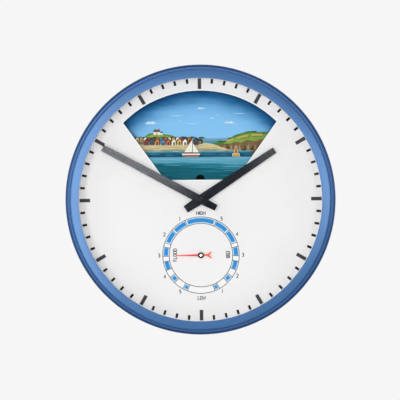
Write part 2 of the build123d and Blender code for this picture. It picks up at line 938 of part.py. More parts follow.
def movement_housing(z, tube_length):
    """Open-backed box with the threaded tube, a shelf over the battery bay and a bored nose."""
    with BuildPart() as housing:
        with BuildSketch(level(movement_back, 0, z)):
            RectangleRounded(movement_size, movement_size, movement_corner)
        extrude(amount=movement_depth)
        with BuildSketch(level(movement_back, 0, z)):
            Rectangle(2 * inner_half, 2 * inner_half)
        extrude(amount=movement_depth - movement_wall, mode=Mode.SUBTRACT)
        with BuildSketch(level(movement_back, 0, z + partition_z)):
            Rectangle(2 * inner_half, partition_thickness)
        extrude(amount=movement_depth - movement_wall)
        with BuildSketch(level(chassis_back, 0, z)):
            Circle(tube_radius)
        extrude(amount=tube_length)
        with BuildSketch(level(movement_inside, 0, z)):
            Circle(pipe_radius + running_clearance)
        extrude(amount=movement_wall + tube_length, mode=Mode.SUBTRACT)
    return housing


def train_room():
    """Middle height and height of the room above the battery shelf, about the movement's axis."""
    return (inner_half - room_below) / 2, inner_half + room_below


def movement_cover(z):
    """Rear cover over the train, with holes for the pivots and the set knob's shaft."""
    middle, height = train_room()
    with BuildPart() as cover:
        with BuildSketch(level(movement_back, 0, z)):
            with Locations((0, middle)):
                Rectangle(2 * (inner_half - pivot_clearance), height - 2 * pivot_clearance)
            Circle(arbor_pivot_radius + pivot_clearance, mode=Mode.SUBTRACT)
            with Locations(third_place, rotor_place):
                Circle(train_arbor_radius + pivot_clearance, mode=Mode.SUBTRACT)
            with Locations(set_place):
                Circle(knob_shaft_radius + running_clearance, mode=Mode.SUBTRACT)
        extrude(amount=movement_wall)
    return cover


def train_plate(z):
    """Middle plate between the going train and the motion work, with the motion wheel's post."""
    middle, height = train_room()
    with BuildPart() as plate:
        with BuildSketch(level(train_plate_back, 0, z)):
            with Locations((0, middle)):
                Rectangle(2 * (inner_half - pivot_clearance), height - 2 * pivot_clearance)
            Circle(arbor_radius + running_clearance, mode=Mode.SUBTRACT)
            with Locations(third_place, rotor_place):
                Circle(train_arbor_radius + pivot_clearance, mode=Mode.SUBTRACT)
            with Locations(set_place):
                Circle(knob_shaft_radius + running_clearance, mode=Mode.SUBTRACT)
        extrude(amount=train_plate_thickness)
        with BuildSketch(level(train_plate_front, 0, z)):
            with Locations(motion_place):
                Circle(motion_post_radius)
        extrude(amount=hour_wheel_front - train_plate_front)
    return plate


def add_gear(height, z, place, module, teeth, phase, thickness):
    """Add a toothed disc to the part being built."""
    with BuildSketch(level(height, place[0], z + place[1])) as outline:
        Polygon(*gear_points(module, teeth, phase), align=None)
    extrude(outline.sketch, amount=thickness)


def add_rod(height, z, place, radius, length, mode=Mode.ADD):
    """Add or cut a round rod along the movement's depth."""
    with BuildSketch(level(height, place[0], z + place[1])) as outline:
        Circle(radius)
    extrude(outline.sketch, amount=length, mode=mode)


def hand_arbor(z, nose_radius, nose_base, nose_top):
    """Arbor with its rear pivot, the pinion of the motion work and a reduced nose."""
    with BuildPart() as arbor:
        add_rod(movement_back, z, centre_place, arbor_pivot_radius, centre_wheel_back - movement_back)
        add_rod(centre_wheel_back, z, centre_place, arbor_radius, nose_base - centre_wheel_back)
        add_rod(nose_base, z, centre_place, nose_radius, nose_top - nose_base)
        add_gear(
            motion_wheel_back, z, centre_place, motion_module, arbor_teeth,
            meshing_phase(motion_direction + 180, arbor_teeth), wheel_thickness,
        )
    return arbor


def motion_wheel(z):
    """Motion wheel with its pinion, turning on the post of the train plate."""
    facing_arbor = motion_direction + 180
    with BuildPart() as wheel:
        add_gear(
            motion_wheel_back, z, motion_place, motion_module, motion_teeth, facing_arbor, wheel_thickness
        )
        pinion_base = motion_wheel_back + wheel_thickness
        add_gear(
            pinion_base, z, motion_place, hour_module, motion_pinion_teeth, facing_arbor,
            hour_wheel_front - pinion_base,
        )
        bore = motion_post_radius + pivot_clearance
        depth = hour_wheel_front - motion_wheel_back
        add_rod(motion_wheel_back, z, motion_place, bore, depth, Mode.SUBTRACT)
    return wheel


def hour_wheel(z, pipe_top):
    """Hour wheel on the pipe that carries the hand."""
    with BuildPart() as wheel:
        add_gear(
            hour_wheel_back, z, centre_place, hour_module, hour_teeth,
            meshing_phase(motion_direction + 180, hour_teeth), wheel_thickness,
        )
        add_rod(hour_wheel_back, z, centre_place, pipe_radius, pipe_top - hour_wheel_back)
        bore = arbor_radius + running_clearance
        add_rod(hour_wheel_back, z, centre_place, bore, pipe_top - hour_wheel_back, Mode.SUBTRACT)
    return wheel


def centre_wheel(z):
    """Centre wheel, held on the arbor by friction through its hub."""
    with BuildPart() as wheel:
        add_gear(
            centre_wheel_back, z, centre_place, train_module, centre_teeth, third_direction,
            train_wheel_thickness,
        )
        hub_height = train_plate_back - centre_wheel_back - motion_gap
        add_rod(centre_wheel_back, z, centre_place, centre_hub_radius, hub_height)
        bore = arbor_radius + running_clearance
        add_rod(centre_wheel_back, z, centre_place, bore, hub_height, Mode.SUBTRACT)
    return wheel


def third_wheel(z):
    """Third wheel with its pinion in the centre wheel."""
    with BuildPart() as wheel:
        add_gear(
            third_wheel_back, z, third_place, train_module, third_teeth, rotor_direction,
            train_wheel_thickness,
        )
        pinion_base = third_wheel_back + train_wheel_thickness
        pinion_top = centre_wheel_back + train_wheel_thickness
        add_gear(
            pinion_base, z, third_place, train_module, pinion_leaves,
            meshing_phase(third_direction, pinion_leaves), pinion_top - pinion_base,
        )
        add_rod(movement_back, z, third_place, train_arbor_radius, train_plate_front - movement_back)
    return wheel


def rotor(z):
    """Magnet of the stepping motor with its pinion in the third wheel."""
    with BuildPart() as spindle:
        add_rod(rotor_back, z, rotor_place, rotor_radius, rotor_height)
        pinion_base = rotor_back + rotor_height
        pinion_top = third_wheel_back + train_wheel_thickness
        add_gear(
            pinion_base, z, rotor_place, train_module, pinion_leaves,
            meshing_phase(rotor_direction, pinion_leaves), pinion_top - pinion_base,
        )
        add_rod(movement_back, z, rotor_place, train_arbor_radius, train_plate_front - movement_back)
    return spindle


def motor_stator(z):
    """Stator plate round the rotor, with two legs joined by the coil's core."""
    with BuildPart() as stator:
        with BuildSketch(level(stator_back, rotor_place[0], z + rotor_place[1])):
            Rectangle(2 * stator_half_width, 2 * stator_half_height)
            with Locations((-leg_x, stator_half_height), (leg_x, stator_half_height)):
                Rectangle(stator_leg_width, stator_leg_height, align=(Align.CENTER, Align.MIN))
            with Locations((0, core_z)):
                Rectangle(2 * leg_x, core_height)
            Circle(rotor_radius + stator_hole_gap, mode=Mode.SUBTRACT)
        extrude(amount=stator_thickness)
    return stator


def motor_coil(z):
    """Coil wound round the stator's core."""
    length = 2 * (leg_x - stator_leg_width / 2 - coil_clearance)
    middle = stator_back + stator_thickness / 2
    place = Plane(
        origin=(rotor_place[0] - length / 2, -middle, z + rotor_place[1] + core_z),
        x_dir=(0, 0, 1),
        z_dir=(1, 0, 0),
    )
    with BuildPart() as coil:
        with BuildSketch(place):
            Circle(coil_radius)
            Rectangle(
                core_height + 2 * pivot_clearance, stator_thickness + 2 * pivot_clearance, mode=Mode.SUBTRACT
            )
        extrude(amount=length)
    return coil


def circuit_board(z):
    """Circuit board in the corner beside the coil, with its chip under a drop of resin."""
    inside = inner_half - pivot_clearance
    with BuildPart() as board:
        with BuildSketch(level(stator_back, inside, z + inside)):
            Rectangle(circuit_width, circuit_height, align=(Align.MAX, Align.MAX))
        extrude(amount=circuit_thickness)
        middle = (inside - circuit_width / 2, z + inside - circuit_height / 2)
        with BuildSketch(level(stator_back + circuit_thickness, *middle)):
            Circle(circuit_chip_radius)
        extrude(amount=circuit_chip_height)
    return board


def set_knob(z):
    """Fluted knob behind the cover, on the shaft of the set pinion."""
    knob_front = movement_back - knob_gap
    knob_x, knob_z = set_place[0], z + set_place[1]
    with BuildPart() as knob:
        with BuildSketch(level(knob_front - knob_height, knob_x, knob_z)):
            Circle(knob_radius)
            with PolarLocations(knob_radius, knob_flutes):
                Circle(knob_flute_radius, mode=Mode.SUBTRACT)
        extrude(amount=knob_height)
        add_rod(knob_front, z, set_place, knob_shaft_radius, motion_wheel_back - knob_front)
        add_gear(
            motion_wheel_back, z, set_place, motion_module, set_teeth,
            meshing_phase(set_direction, set_teeth), wheel_thickness,
        )
    return knob


def battery(z):
    """Round cell lying in the battery bay, with its nub to the right."""
    middle = movement_back + (movement_depth - movement_wall) / 2
    ends = battery_length / 2
    across = Plane(origin=(-ends, -middle, z + battery_z), x_dir=(0, 0, 1), z_dir=(1, 0, 0))
    with BuildPart() as cell:
        with BuildSketch(across):
            Circle(battery_radius)
        extrude(amount=battery_length - battery_nub_length)
        with BuildSketch(across.offset(battery_length - battery_nub_length)):
            Circle(battery_nub_radius)
        extrude(amount=battery_nub_length)
    return cell


def battery_contacts(z):
    """Contact plate at each end of the battery bay, with a raised dimple to the cell."""
    middle = movement_back + (movement_depth - movement_wall) / 2
    with BuildPart() as contacts:
        for side in (-1, 1):
            seat_origin = (side * inner_half, -middle, z + battery_z)
            seat = Plane(origin=seat_origin, x_dir=(0, 0, 1), z_dir=(-side, 0, 0))
            with BuildSketch(seat):
                Rectangle(contact_width, contact_height)
            extrude(amount=contact_thickness)
            with BuildSketch(seat):
                Circle(contact_bump_radius)
            extrude(amount=inner_half - battery_length / 2)
    return contacts


def fixing_nut(z):
    """Hexagon nut that clamps the movement to the chassis."""
    with BuildPart() as nut:
        with BuildSketch(level(chassis_front, 0, z)):
            RegularPolygon(nut_across_flats / 2, 6, major_radius=False)
            Circle(tube_radius + seat_gap, mode=Mode.SUBTRACT)
        extrude(amount=nut_thickness)
    return nut


# Both movements: name, place, tube, hour pipe and arbor nose
pointer_cap_front = pointer_front + pointer_cap_height
movements = (
    ("clock", 0, clock_tube_length, hour_hand_base + hand_thickness,
     arbor_nose_radius, minute_hand_base, minute_hand_front + cap_height),
    ("tide", yoke_z, tide_tube_length, pointer_front,
     tide_nose_radius, pointer_front - running_clearance, pointer_cap_front),
)
for name, z, tube_length, pipe_top, nose_radius, nose_base, nose_top in movements:
    save(movement_housing(z, tube_length), f"{name}_housing")
    save(movement_cover(z), f"{name}_cover")
    save(train_plate(z), f"{name}_train_plate")
    save(circuit_board(z), f"{name}_circuit_board")
    save(motor_stator(z), f"{name}_motor_stator")
    save(motor_coil(z), f"{name}_motor_coil")
    save(rotor(z), f"{name}_rotor")
    save(third_wheel(z), f"{name}_third_wheel")
    save(centre_wheel(z), f"{name}_centre_wheel")
    save(hand_arbor(z, nose_radius, nose_base, nose_top), f"{name}_arbor")
    save(motion_wheel(z), f"{name}_motion_wheel")
    save(hour_wheel(z, pipe_top), f"{name}_hour_wheel")
    save(set_knob(z), f"{name}_set_knob")
    save(battery(z), f"{name}_battery")
    save(battery_contacts(z), f"{name}_battery_contacts")
    save(fixing_nut(z), f"{name}_fixing_nut")
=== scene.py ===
"""Looks of the wall tide clock, built round its CAD frame."""

import json
import math
import random

import bmesh
import bpy
from mathutils import Matrix, Vector


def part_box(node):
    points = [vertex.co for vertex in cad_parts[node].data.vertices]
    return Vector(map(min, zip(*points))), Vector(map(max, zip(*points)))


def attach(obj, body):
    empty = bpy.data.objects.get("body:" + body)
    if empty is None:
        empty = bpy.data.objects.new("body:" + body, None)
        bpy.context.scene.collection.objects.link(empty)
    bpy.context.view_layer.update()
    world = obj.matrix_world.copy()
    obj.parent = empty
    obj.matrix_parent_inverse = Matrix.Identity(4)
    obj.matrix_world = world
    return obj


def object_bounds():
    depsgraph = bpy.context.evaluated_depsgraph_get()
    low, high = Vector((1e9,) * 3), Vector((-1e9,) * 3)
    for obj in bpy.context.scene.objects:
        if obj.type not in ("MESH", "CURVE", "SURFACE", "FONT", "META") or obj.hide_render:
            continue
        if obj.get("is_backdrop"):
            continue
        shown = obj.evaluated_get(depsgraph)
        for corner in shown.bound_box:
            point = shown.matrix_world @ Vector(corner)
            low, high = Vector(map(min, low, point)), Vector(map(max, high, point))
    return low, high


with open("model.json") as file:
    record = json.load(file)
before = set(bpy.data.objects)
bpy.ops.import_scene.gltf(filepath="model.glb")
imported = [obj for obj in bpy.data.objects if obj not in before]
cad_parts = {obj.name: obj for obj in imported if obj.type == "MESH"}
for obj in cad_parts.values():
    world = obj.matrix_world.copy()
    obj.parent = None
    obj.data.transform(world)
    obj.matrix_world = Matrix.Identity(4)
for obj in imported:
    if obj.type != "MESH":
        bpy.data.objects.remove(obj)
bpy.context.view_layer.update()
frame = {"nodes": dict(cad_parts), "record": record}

# Outlines and heights are in millimetres: x to the right, z up, height off the wall
MM = 0.001

# Middle of the tide ring, and the sea plate's top edge at rest
TIDE_Z = -61.9
SEA_TOP = 47.7

# Picture opening: an arc above, slanting sides whose half width grows with z, and a level bottom
OPENING_RADIUS = 121.3
OPENING_ANGLE = 44.8
OPENING_BOTTOM = 22.0
OPENING_BOTTOM_HALF = 39.3
CORNER_X = OPENING_RADIUS * math.sin(math.radians(OPENING_ANGLE))
CORNER_Z = OPENING_RADIUS * math.cos(math.radians(OPENING_ANGLE))
SIDE_SLOPE = (CORNER_X - OPENING_BOTTOM_HALF) / (CORNER_Z - OPENING_BOTTOM)
SIDE_START = OPENING_BOTTOM_HALF - OPENING_BOTTOM * SIDE_SLOPE

nodes = frame["nodes"]
scene = bpy.context.scene
scene.view_settings.view_transform = "Standard"


def front(node):
    """Height of a CAD node's front face off the wall."""
    return -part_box(node)[0].y / MM


# Colours and materials
def rgb(red, green, blue, alpha=1.0):
    """Linear colour from display values of 0 to 255."""
    def linear(value):
        value /= 255
        return value / 12.92 if value <= 0.04045 else ((value + 0.055) / 1.055) ** 2.4
    return (linear(red), linear(green), linear(blue), alpha)


def scaled(colour, factor):
    """A colour made lighter or darker."""
    return tuple(min(1.0, channel * factor) for channel in colour[:3]) + (1.0,)


class Paint:
    """A material under construction: its tree, its shader and short ways to add nodes."""

    def __init__(self, name, colour, roughness, metallic=0.0, **sockets):
        self.material = bpy.data.materials.new(name)
        self.material.use_nodes = True
        self.material.diffuse_color = colour
        self.tree = self.material.node_tree
        self.shader = self.tree.nodes["Principled BSDF"]
        self.colour = colour
        self.shader.inputs["Base Color"].default_value = colour
        self.shader.inputs["Roughness"].default_value = roughness
        self.shader.inputs["Metallic"].default_value = metallic
        for socket, value in sockets.items():
            self.shader.inputs[socket.replace("_", " ")].default_value = value
        self.place = self.node("ShaderNodeTexCoord").outputs["Object"]

    def node(self, kind, links=None, values=None, **options):
        """A new node with its options, socket values and incoming links."""
        made = self.tree.nodes.new(kind)
        for option, value in options.items():
            setattr(made, option, value)
        for socket, value in (values or {}).items():
            made.inputs[socket].default_value = value
        for socket, source in (links or {}).items():
            self.tree.links.new(source, made.inputs[socket])
        return made

    def stretched(self, scale):
        """The piece's coordinates, squeezed along each axis."""
        return self.node("ShaderNodeMapping", {"Vector": self.place}, {"Scale": scale}).outputs["Vector"]

    def noise(self, scale, detail=3.0, place=None):
        """Noise over the piece."""
        return self.node(
            "ShaderNodeTexNoise", {"Vector": place or self.place}, {"Scale": scale, "Detail": detail}
        ).outputs["Fac"]

    def along(self, axis, start, end):
        """0 to 1 between two places in millimetres along an axis."""
        split = self.node("ShaderNodeSeparateXYZ", {"Vector": self.place})
        return self.node(
            "ShaderNodeMapRange", {"Value": split.outputs[axis]},
            {"From Min": start * MM, "From Max": end * MM},
        ).outputs["Result"]

    def ramp(self, factor, stops, interpolation="LINEAR"):
        """Colours by a factor: stops are (place, colour)."""
        made = self.node("ShaderNodeValToRGB", {"Fac": factor})
        ramp = made.color_ramp
        ramp.interpolation = interpolation
        while len(ramp.elements) < len(stops):
            ramp.elements.new(0.5)
        for element, (place, colour) in zip(ramp.elements, stops):
            element.position = place
            element.color = colour
        return made.outputs["Color"]

    def feed(self, made, index, value):
        """Give a node's input a socket or a plain value."""
        if isinstance(value, bpy.types.NodeSocket):
            self.tree.links.new(value, made.inputs[index])
        else:
            made.inputs[index].default_value = value

    def mixed(self, factor, first, second, blend="MIX"):
        """Two colours mixed by a factor."""
        made = self.node("ShaderNodeMix", data_type="RGBA", blend_type=blend)
        for index, value in ((0, factor), (6, first), (7, second)):
            self.feed(made, index, value)
        return made.outputs[2]

    def reckoned(self, operation, *terms):
        """Arithmetic on sockets and plain numbers."""
        made = self.node("ShaderNodeMath", operation=operation)
        for index, term in enumerate(terms):
            self.feed(made, index, term)
        return made.outputs[0]

    def coloured(self, source):
        """Use a colour socket as the base colour."""
        self.tree.links.new(source, self.shader.inputs["Base Color"])
        return self

    def mottled(self, spread, scale):
        """Uneven colour: spread is a share of the colour."""
        low, high = scaled(self.colour, 1 - spread), scaled(self.colour, 1 + spread)
        return self.coloured(self.ramp(self.noise(scale), [(0.3, low), (0.7, high)]))

    def worn(self, low, high, scale, place=None):
        """Uneven roughness."""
        made = self.node(
            "ShaderNodeMapRange", {"Value": self.noise(scale, place=place)},
            {"From Min": 0.3, "From Max": 0.7, "To Min": low, "To Max": high},
        )
        self.tree.links.new(made.outputs["Result"], self.shader.inputs["Roughness"])
        return self

    def relief(self, source, height, strength=1.0):
        """Bump from a height socket: height is in millimetres."""
        bump = self.node(
            "ShaderNodeBump", {"Height": source}, {"Strength": strength, "Distance": height * MM}
        )
        self.tree.links.new(bump.outputs["Normal"], self.shader.inputs["Normal"])
        return self


def moulded(name, colour, roughness, grain=1500.0, height=0.02, spread=0.05, **sockets):
    """Moulded plastic with a fine grain."""
    paint = Paint(name, colour, roughness, **sockets)
    paint.mottled(spread, 60.0).worn(roughness - 0.06, roughness + 0.08, 180.0)
    return paint.relief(paint.noise(grain, 2.0), height, 0.6).material


def metal(name, colour, roughness, stretch=(1.0, 1.0, 14.0)):
    """Metal with fine turning or rolling lines along an axis."""
    paint = Paint(name, colour, roughness, 1.0)
    place = paint.stretched(stretch)
    paint.mottled(0.06, 120.0).worn(roughness - 0.07, roughness + 0.1, 500.0, place)
    return paint.relief(paint.noise(2500.0, 2.0, place), 0.006).material


def ink(name, colour, roughness=0.6, spread=0.08, scale=900.0):
    """Printing ink or flat artist's paint on card."""
    paint = Paint(name, colour, roughness, Specular_IOR_Level=0.05)
    return paint.mottled(spread, scale).relief(paint.noise(3000.0, 2.0), 0.006, 0.5).material


def body_paint(name, colour, roughness, gloss, metal=0.3):
    """Satin metallic paint with a faint orange peel and a little flake."""
    paint = Paint(name, colour, roughness, metal, Specular_IOR_Level=gloss)
    flake = paint.noise(9000.0, 1.0)
    low, high = scaled(colour, 0.94), scaled(colour, 1.07)
    cloudy = paint.ramp(paint.noise(14.0), [(0.35, low), (0.65, high)])
    paint.coloured(paint.mixed(0.35, cloudy, paint.ramp(flake, [(0.4, low), (0.6, high)])))
    return paint.relief(paint.noise(420.0, 2.0), 0.012, 0.5).material


def lens_glass():
    """Clear coated glass: see-through with a faint mirror that grows towards its edges."""
    paint = Paint("lens_glass", (0.98, 0.99, 0.99, 0.12), 0.02)
    tree = paint.tree
    facing = paint.node("ShaderNodeLayerWeight", values={"Blend": 0.5}).outputs["Facing"]
    share = paint.reckoned("MULTIPLY", paint.reckoned("POWER", facing, 2.0), 0.45)
    smudge = paint.node(
        "ShaderNodeMapRange", {"Value": paint.noise(25.0)},
        {"From Min": 0.3, "From Max": 0.7, "To Min": 0.01, "To Max": 0.04},
    ).outputs["Result"]
    clear = paint.node("ShaderNodeBsdfTransparent", values={"Color": (0.985, 0.99, 0.99, 1.0)})
    mirror = paint.node("ShaderNodeBsdfGlossy", {"Roughness": smudge}, {"Color": (1.0, 1.0, 1.0, 1.0)})
    both = paint.node("ShaderNodeMixShader", {0: share, 1: clear.outputs[0], 2: mirror.outputs[0]})
    tree.nodes.remove(paint.shader)
    tree.links.new(both.outputs[0], tree.nodes["Material Output"].inputs["Surface"])
    return paint.material


def dial_board():
    """Matt white lacquered board with a faint tooth."""
    paint = Paint("dial_white", (0.86, 0.835, 0.84, 1.0), 0.55, Specular_IOR_Level=0.15)
    paint.mottled(0.012, 22.0).worn(0.5, 0.62, 90.0)
    return paint.relief(paint.noise(1800.0, 3.0), 0.006, 0.5).material


def cover_plastic():
    """Black plastic with a leather-like moulded texture."""
    paint = Paint("cover_black", (0.012, 0.012, 0.013, 1.0), 0.5)
    cells = paint.node(
        "ShaderNodeTexVoronoi", {"Vector": paint.place}, {"Scale": 900.0}, feature="SMOOTH_F1"
    )
    paint.mottled(0.15, 45.0).worn(0.42, 0.6, 130.0)
    return paint.relief(cells.outputs["Distance"], 0.05, 0.7).material


def copper_winding():
    """Fine lacquered copper turns round an axis along x."""
    paint = Paint("coil_copper", (0.55, 0.2, 0.08, 1.0), 0.28, 1.0)
    turns = paint.node(
        "ShaderNodeTexWave", {"Vector": paint.place}, {"Scale": 800.0, "Distortion": 0.4},
        bands_direction="X", wave_profile="SIN",
    )
    paint.mottled(0.12, 200.0)
    return paint.relief(turns.outputs["Fac"], 0.06).material


def circuit_lacquer():
    """Green solder mask with darker tracks."""
    paint = Paint("board_green", (0.01, 0.09, 0.035, 1.0), 0.35)
    tracks = paint.node(
        "ShaderNodeTexBrick", {"Vector": paint.place},
        {"Scale": 420.0, "Mortar Size": 0.012, "Color1": (0.01, 0.09, 0.035, 1.0),
         "Color2": (0.012, 0.11, 0.04, 1.0), "Mortar": (0.02, 0.17, 0.07, 1.0)},
    )
    return paint.coloured(tracks.outputs["Color"]).relief(paint.noise(1200.0), 0.01).material


def cell_jacket():
    """Battery: a dark jacket with a plain light band and bare metal at the nub."""
    paint = Paint("battery_jacket", (0.03, 0.06, 0.12, 1.0), 0.3, 0.3)
    stops = [(0.0, (0.02, 0.04, 0.09, 1.0)), (0.7, (0.45, 0.33, 0.16, 1.0)), (0.94, (0.5, 0.5, 0.5, 1.0))]
    bands = paint.ramp(paint.along("X", -25.25, 25.25), stops, "CONSTANT")
    return paint.coloured(bands).relief(paint.noise(900.0), 0.008, 0.5).material


def hand_paint():
    """Smooth blue-black paint that mirrors a little of the lamps."""
    paint = Paint(
        "hand_black", (0.001, 0.002, 0.006, 1.0), 0.11,
        Specular_IOR_Level=0.13, Specular_Tint=(0.92, 0.95, 1.0, 1.0),
    )
    paint.mottled(0.1, 60.0).worn(0.1, 0.12, 40.0)
    return paint.relief(paint.noise(300.0, 1.0), 0.001, 0.3).material


def pointer_red():
    """Red paint, turning orange towards the tail."""
    paint = Paint("pointer_red", rgb(222, 52, 40), 0.42)
    blend = paint.ramp(paint.along("X", -30.0, 12.0), [
        (0.0, rgb(236, 92, 84)), (0.35, rgb(226, 44, 36)),
        (0.72, rgb(220, 36, 34)), (0.78, rgb(238, 88, 46)),
    ])
    return paint.coloured(blend).relief(paint.noise(1400.0), 0.006, 0.5).material


def sky_print_and_painted_shadow():
    """Printed sky: pale blue with soft streaks, darkening towards the edges of the opening: partly the
    print's own vignette, partly painted shadow of the dial's edges.
    """
    shade, blend, wave = 0.03, 0.006, 0.009
    narrowing = 3.0
    paint = Paint("picture_print", rgb(110, 170, 215), 0.6, Specular_IOR_Level=0.05)
    split = paint.node("ShaderNodeSeparateXYZ", {"Vector": paint.place})
    flat = paint.node("ShaderNodeCombineXYZ", {"X": split.outputs["X"], "Z": split.outputs["Z"]})
    reach = paint.node("ShaderNodeVectorMath", {0: flat.outputs[0]}, operation="LENGTH").outputs["Value"]
    from_arc = paint.reckoned("SUBTRACT", OPENING_RADIUS * MM, reach)
    side = paint.reckoned("MULTIPLY_ADD", split.outputs["Z"], SIDE_SLOPE, SIDE_START * MM)
    from_side = paint.reckoned("SUBTRACT", side, paint.reckoned("ABSOLUTE", split.outputs["X"]))
    # The dark edge, part vignette and part painted shadow, is narrower along the slanting sides than along
    # the arc
    narrowed = paint.reckoned("MULTIPLY_ADD", from_side, narrowing, blend)
    inset = paint.reckoned("SMOOTH_MIN", from_arc, narrowed, blend)
    streaks = paint.noise(38.0, 4.0, paint.stretched((1.0, 1.0, 3.6)))
    wander = paint.reckoned("MULTIPLY_ADD", streaks, wave, -wave / 2)
    share = paint.node(
        "ShaderNodeMapRange", {"Value": paint.reckoned("ADD", inset, wander)}, {"From Max": shade}
    ).outputs["Result"]
    # Deepest blue at the opening's edge: the print's vignette with painted shadow of the dial's edges
    sky = paint.ramp(share, [
        (0.0, rgb(20, 74, 120)), (0.1, rgb(28, 90, 138)), (0.25, rgb(52, 112, 160)),
        (0.45, rgb(98, 160, 206)), (0.7, rgb(128, 188, 232)), (1.0, rgb(138, 198, 240)),
    ])
    pale = paint.ramp(paint.along("Z", 70.0, 96.0), [(0.0, rgb(255, 255, 255)), (1.0, rgb(244, 249, 254))])
    paint.coloured(paint.mixed(1.0, sky, pale, "MULTIPLY"))
    return paint.relief(paint.noise(2600.0, 2.0), 0.006, 0.5).material


def sea_print():
    """Printed sea: a pale band along the top edge, deep teal below, with long soft streaks."""
    wave = 0.16
    paint = Paint("sea_print", rgb(24, 100, 118), 0.6, Specular_IOR_Level=0.05)
    streaks = paint.noise(60.0, 3.0, paint.stretched((1.0, 1.0, 6.0)))
    wander = paint.reckoned("MULTIPLY_ADD", streaks, wave, -wave / 2)
    water = paint.ramp(paint.reckoned("ADD", paint.along("Z", 5.0, SEA_TOP), wander), [
        (0.0, rgb(14, 76, 90)), (0.5, rgb(22, 96, 112)), (0.79, rgb(28, 106, 124)),
        (0.83, rgb(50, 130, 150)), (0.87, rgb(90, 160, 182)), (1.0, rgb(102, 170, 194)),
    ])
    return paint.coloured(water).relief(paint.noise(2600.0, 2.0), 0.006, 0.5).material


TURNED = (1.0, 10.0, 1.0)
EVEN = (1.0, 1.0, 1.0)
finishes = {
    "case_paint": body_paint("case_paint", rgb(25, 65, 113), 0.36, 0.42, 0.5),
    "bezel_paint": body_paint("bezel_paint", rgb(44, 97, 150), 0.3, 0.75),
    "lens_glass": lens_glass(),
    "gasket_rubber": moulded("gasket_rubber", (0.01, 0.01, 0.01, 1.0), 0.75),
    "spacer_white": moulded("spacer_white", (0.78, 0.775, 0.76, 1.0), 0.5, spread=0.02),
    "dial_white": dial_board(),
    "sea_print": sea_print(),
    "cutout_print": ink("cutout_print", rgb(236, 230, 214), 0.6, 0.03),
    "picture_print": sky_print_and_painted_shadow(),
    "chassis_black": moulded(
        "chassis_black", (0.004, 0.004, 0.0045, 1.0), 0.7, Specular_IOR_Level=0.1
    ),
    "rail_grey": moulded("rail_grey", (0.26, 0.27, 0.28, 1.0), 0.45),
    "post_alloy": metal("post_alloy", (0.62, 0.62, 0.63, 1.0), 0.3),
    "screw_zinc": metal("screw_zinc", (0.55, 0.55, 0.56, 1.0), 0.32, EVEN),
    "cover_black": cover_plastic(),
    "hanger_steel": metal("hanger_steel", (0.5, 0.51, 0.52, 1.0), 0.34, (9.0, 1.0, 1.0)),
    "hand_black": hand_paint(),
    "pointer_red": pointer_red(),
    "cap_black": moulded(
        "cap_black", (0.004, 0.004, 0.005, 1.0), 0.25, grain=600.0, height=0.002, Specular_IOR_Level=0.2
    ),
    "brass": metal("brass", (0.62, 0.42, 0.14, 1.0), 0.26, TURNED),
    "movement_black": moulded("movement_black", (0.01, 0.01, 0.01, 1.0), 0.5),
    "plate_white": moulded("plate_white", (0.66, 0.65, 0.6, 1.0), 0.5),
    "board_green": circuit_lacquer(),
    "stator_steel": metal("stator_steel", (0.42, 0.42, 0.43, 1.0), 0.38, (1.0, 40.0, 1.0)),
    "coil_copper": copper_winding(),
    "magnet_grey": moulded("magnet_grey", (0.04, 0.04, 0.042, 1.0), 0.4),
    "wheel_acetal": moulded("wheel_acetal", (0.76, 0.72, 0.58, 1.0), 0.42, Subsurface_Weight=0.1),
    "knob_white": moulded("knob_white", (0.68, 0.68, 0.65, 1.0), 0.45),
    "battery_jacket": cell_jacket(),
    "contact_steel": metal("contact_steel", (0.6, 0.6, 0.57, 1.0), 0.28, (1.0, 1.0, 12.0)),
}
for subpart in frame["record"]["subparts"]:
    mesh = nodes[subpart["node"]].data
    mesh.materials.clear()
    mesh.materials.append(finishes[subpart["material_slot"]])

# Noses of the arbors: bare metal in the middle of the pointer, dark metal in the hands' cap nut
nodes["tide_arbor"].data.materials[0] = metal("bright_nose", (0.9, 0.9, 0.9, 1.0), 0.22, TURNED)
nodes["clock_arbor"].data.materials[0] = metal("dark_nose", (0.012, 0.012, 0.014, 1.0), 0.4, TURNED)


# Small rounds on sharp edges
def rounded(obj, width, angle):
    """A modifier that rounds the edges sharper than an angle, by a width in millimetres."""
    bevel = obj.modifiers.new("round", "BEVEL")
    bevel.width = width * MM
    bevel.segments = 2
    bevel.limit_method = "ANGLE"
    bevel.angle_limit = math.radians(angle)
    return bevel


def soften(node, width):
    """Clean shading and small rounds, in millimetres, on the sharp edges of a CAD node."""
    obj = nodes[node]
    mesh = obj.data
    if "custom_normal" in mesh.attributes:
        mesh.attributes.remove(mesh.attributes["custom_normal"])
    mesh.shade_smooth()
    weld = obj.modifiers.new("weld", "WELD")
    weld.merge_threshold = 0.001 * MM
    flat = obj.modifiers.new("flat", "DECIMATE")
    flat.decimate_type = "DISSOLVE"
    flat.angle_limit = math.radians(0.2)
    rounded(obj, width, 35).harden_normals = True


for node, width in {
    "dial_plate": 0.12, "hour_hand": 0.1, "minute_hand": 0.1, "tide_pointer": 0.06, "pointer_cap": 0.12,
    "sea_plate": 0.15, "boat_cutout": 0.06, "buoy_cutout": 0.06, "picture_board": 0.1,
    "back_cover": 0.25, "access_door": 0.25, "hanger_plate": 0.15, "hanger_rivets": 0.2,
    "cover_screws": 0.08, "post_screws": 0.08, "door_screws": 0.08,
}.items():
    soften(node, width)


# Outlines
def bow(centre_x, centre_z, across, up, start, end, steps=8):
    """Points on an ellipse, from one angle to another, anticlockwise from the right, in degrees."""
    angles = [math.radians(start + (end - start) * step / steps) for step in range(steps + 1)]
    return [(centre_x + across * math.cos(a), centre_z + up * math.sin(a)) for a in angles]


def band(centre_z, inner, outer, start, end, steps=24):
    """Outline of a ring segment: angles clockwise from the top, in degrees."""
    rim = bow(0, centre_z, outer, outer, 90 - start, 90 - end, steps)
    return rim + bow(0, centre_z, inner, inner, 90 - end, 90 - start, steps)


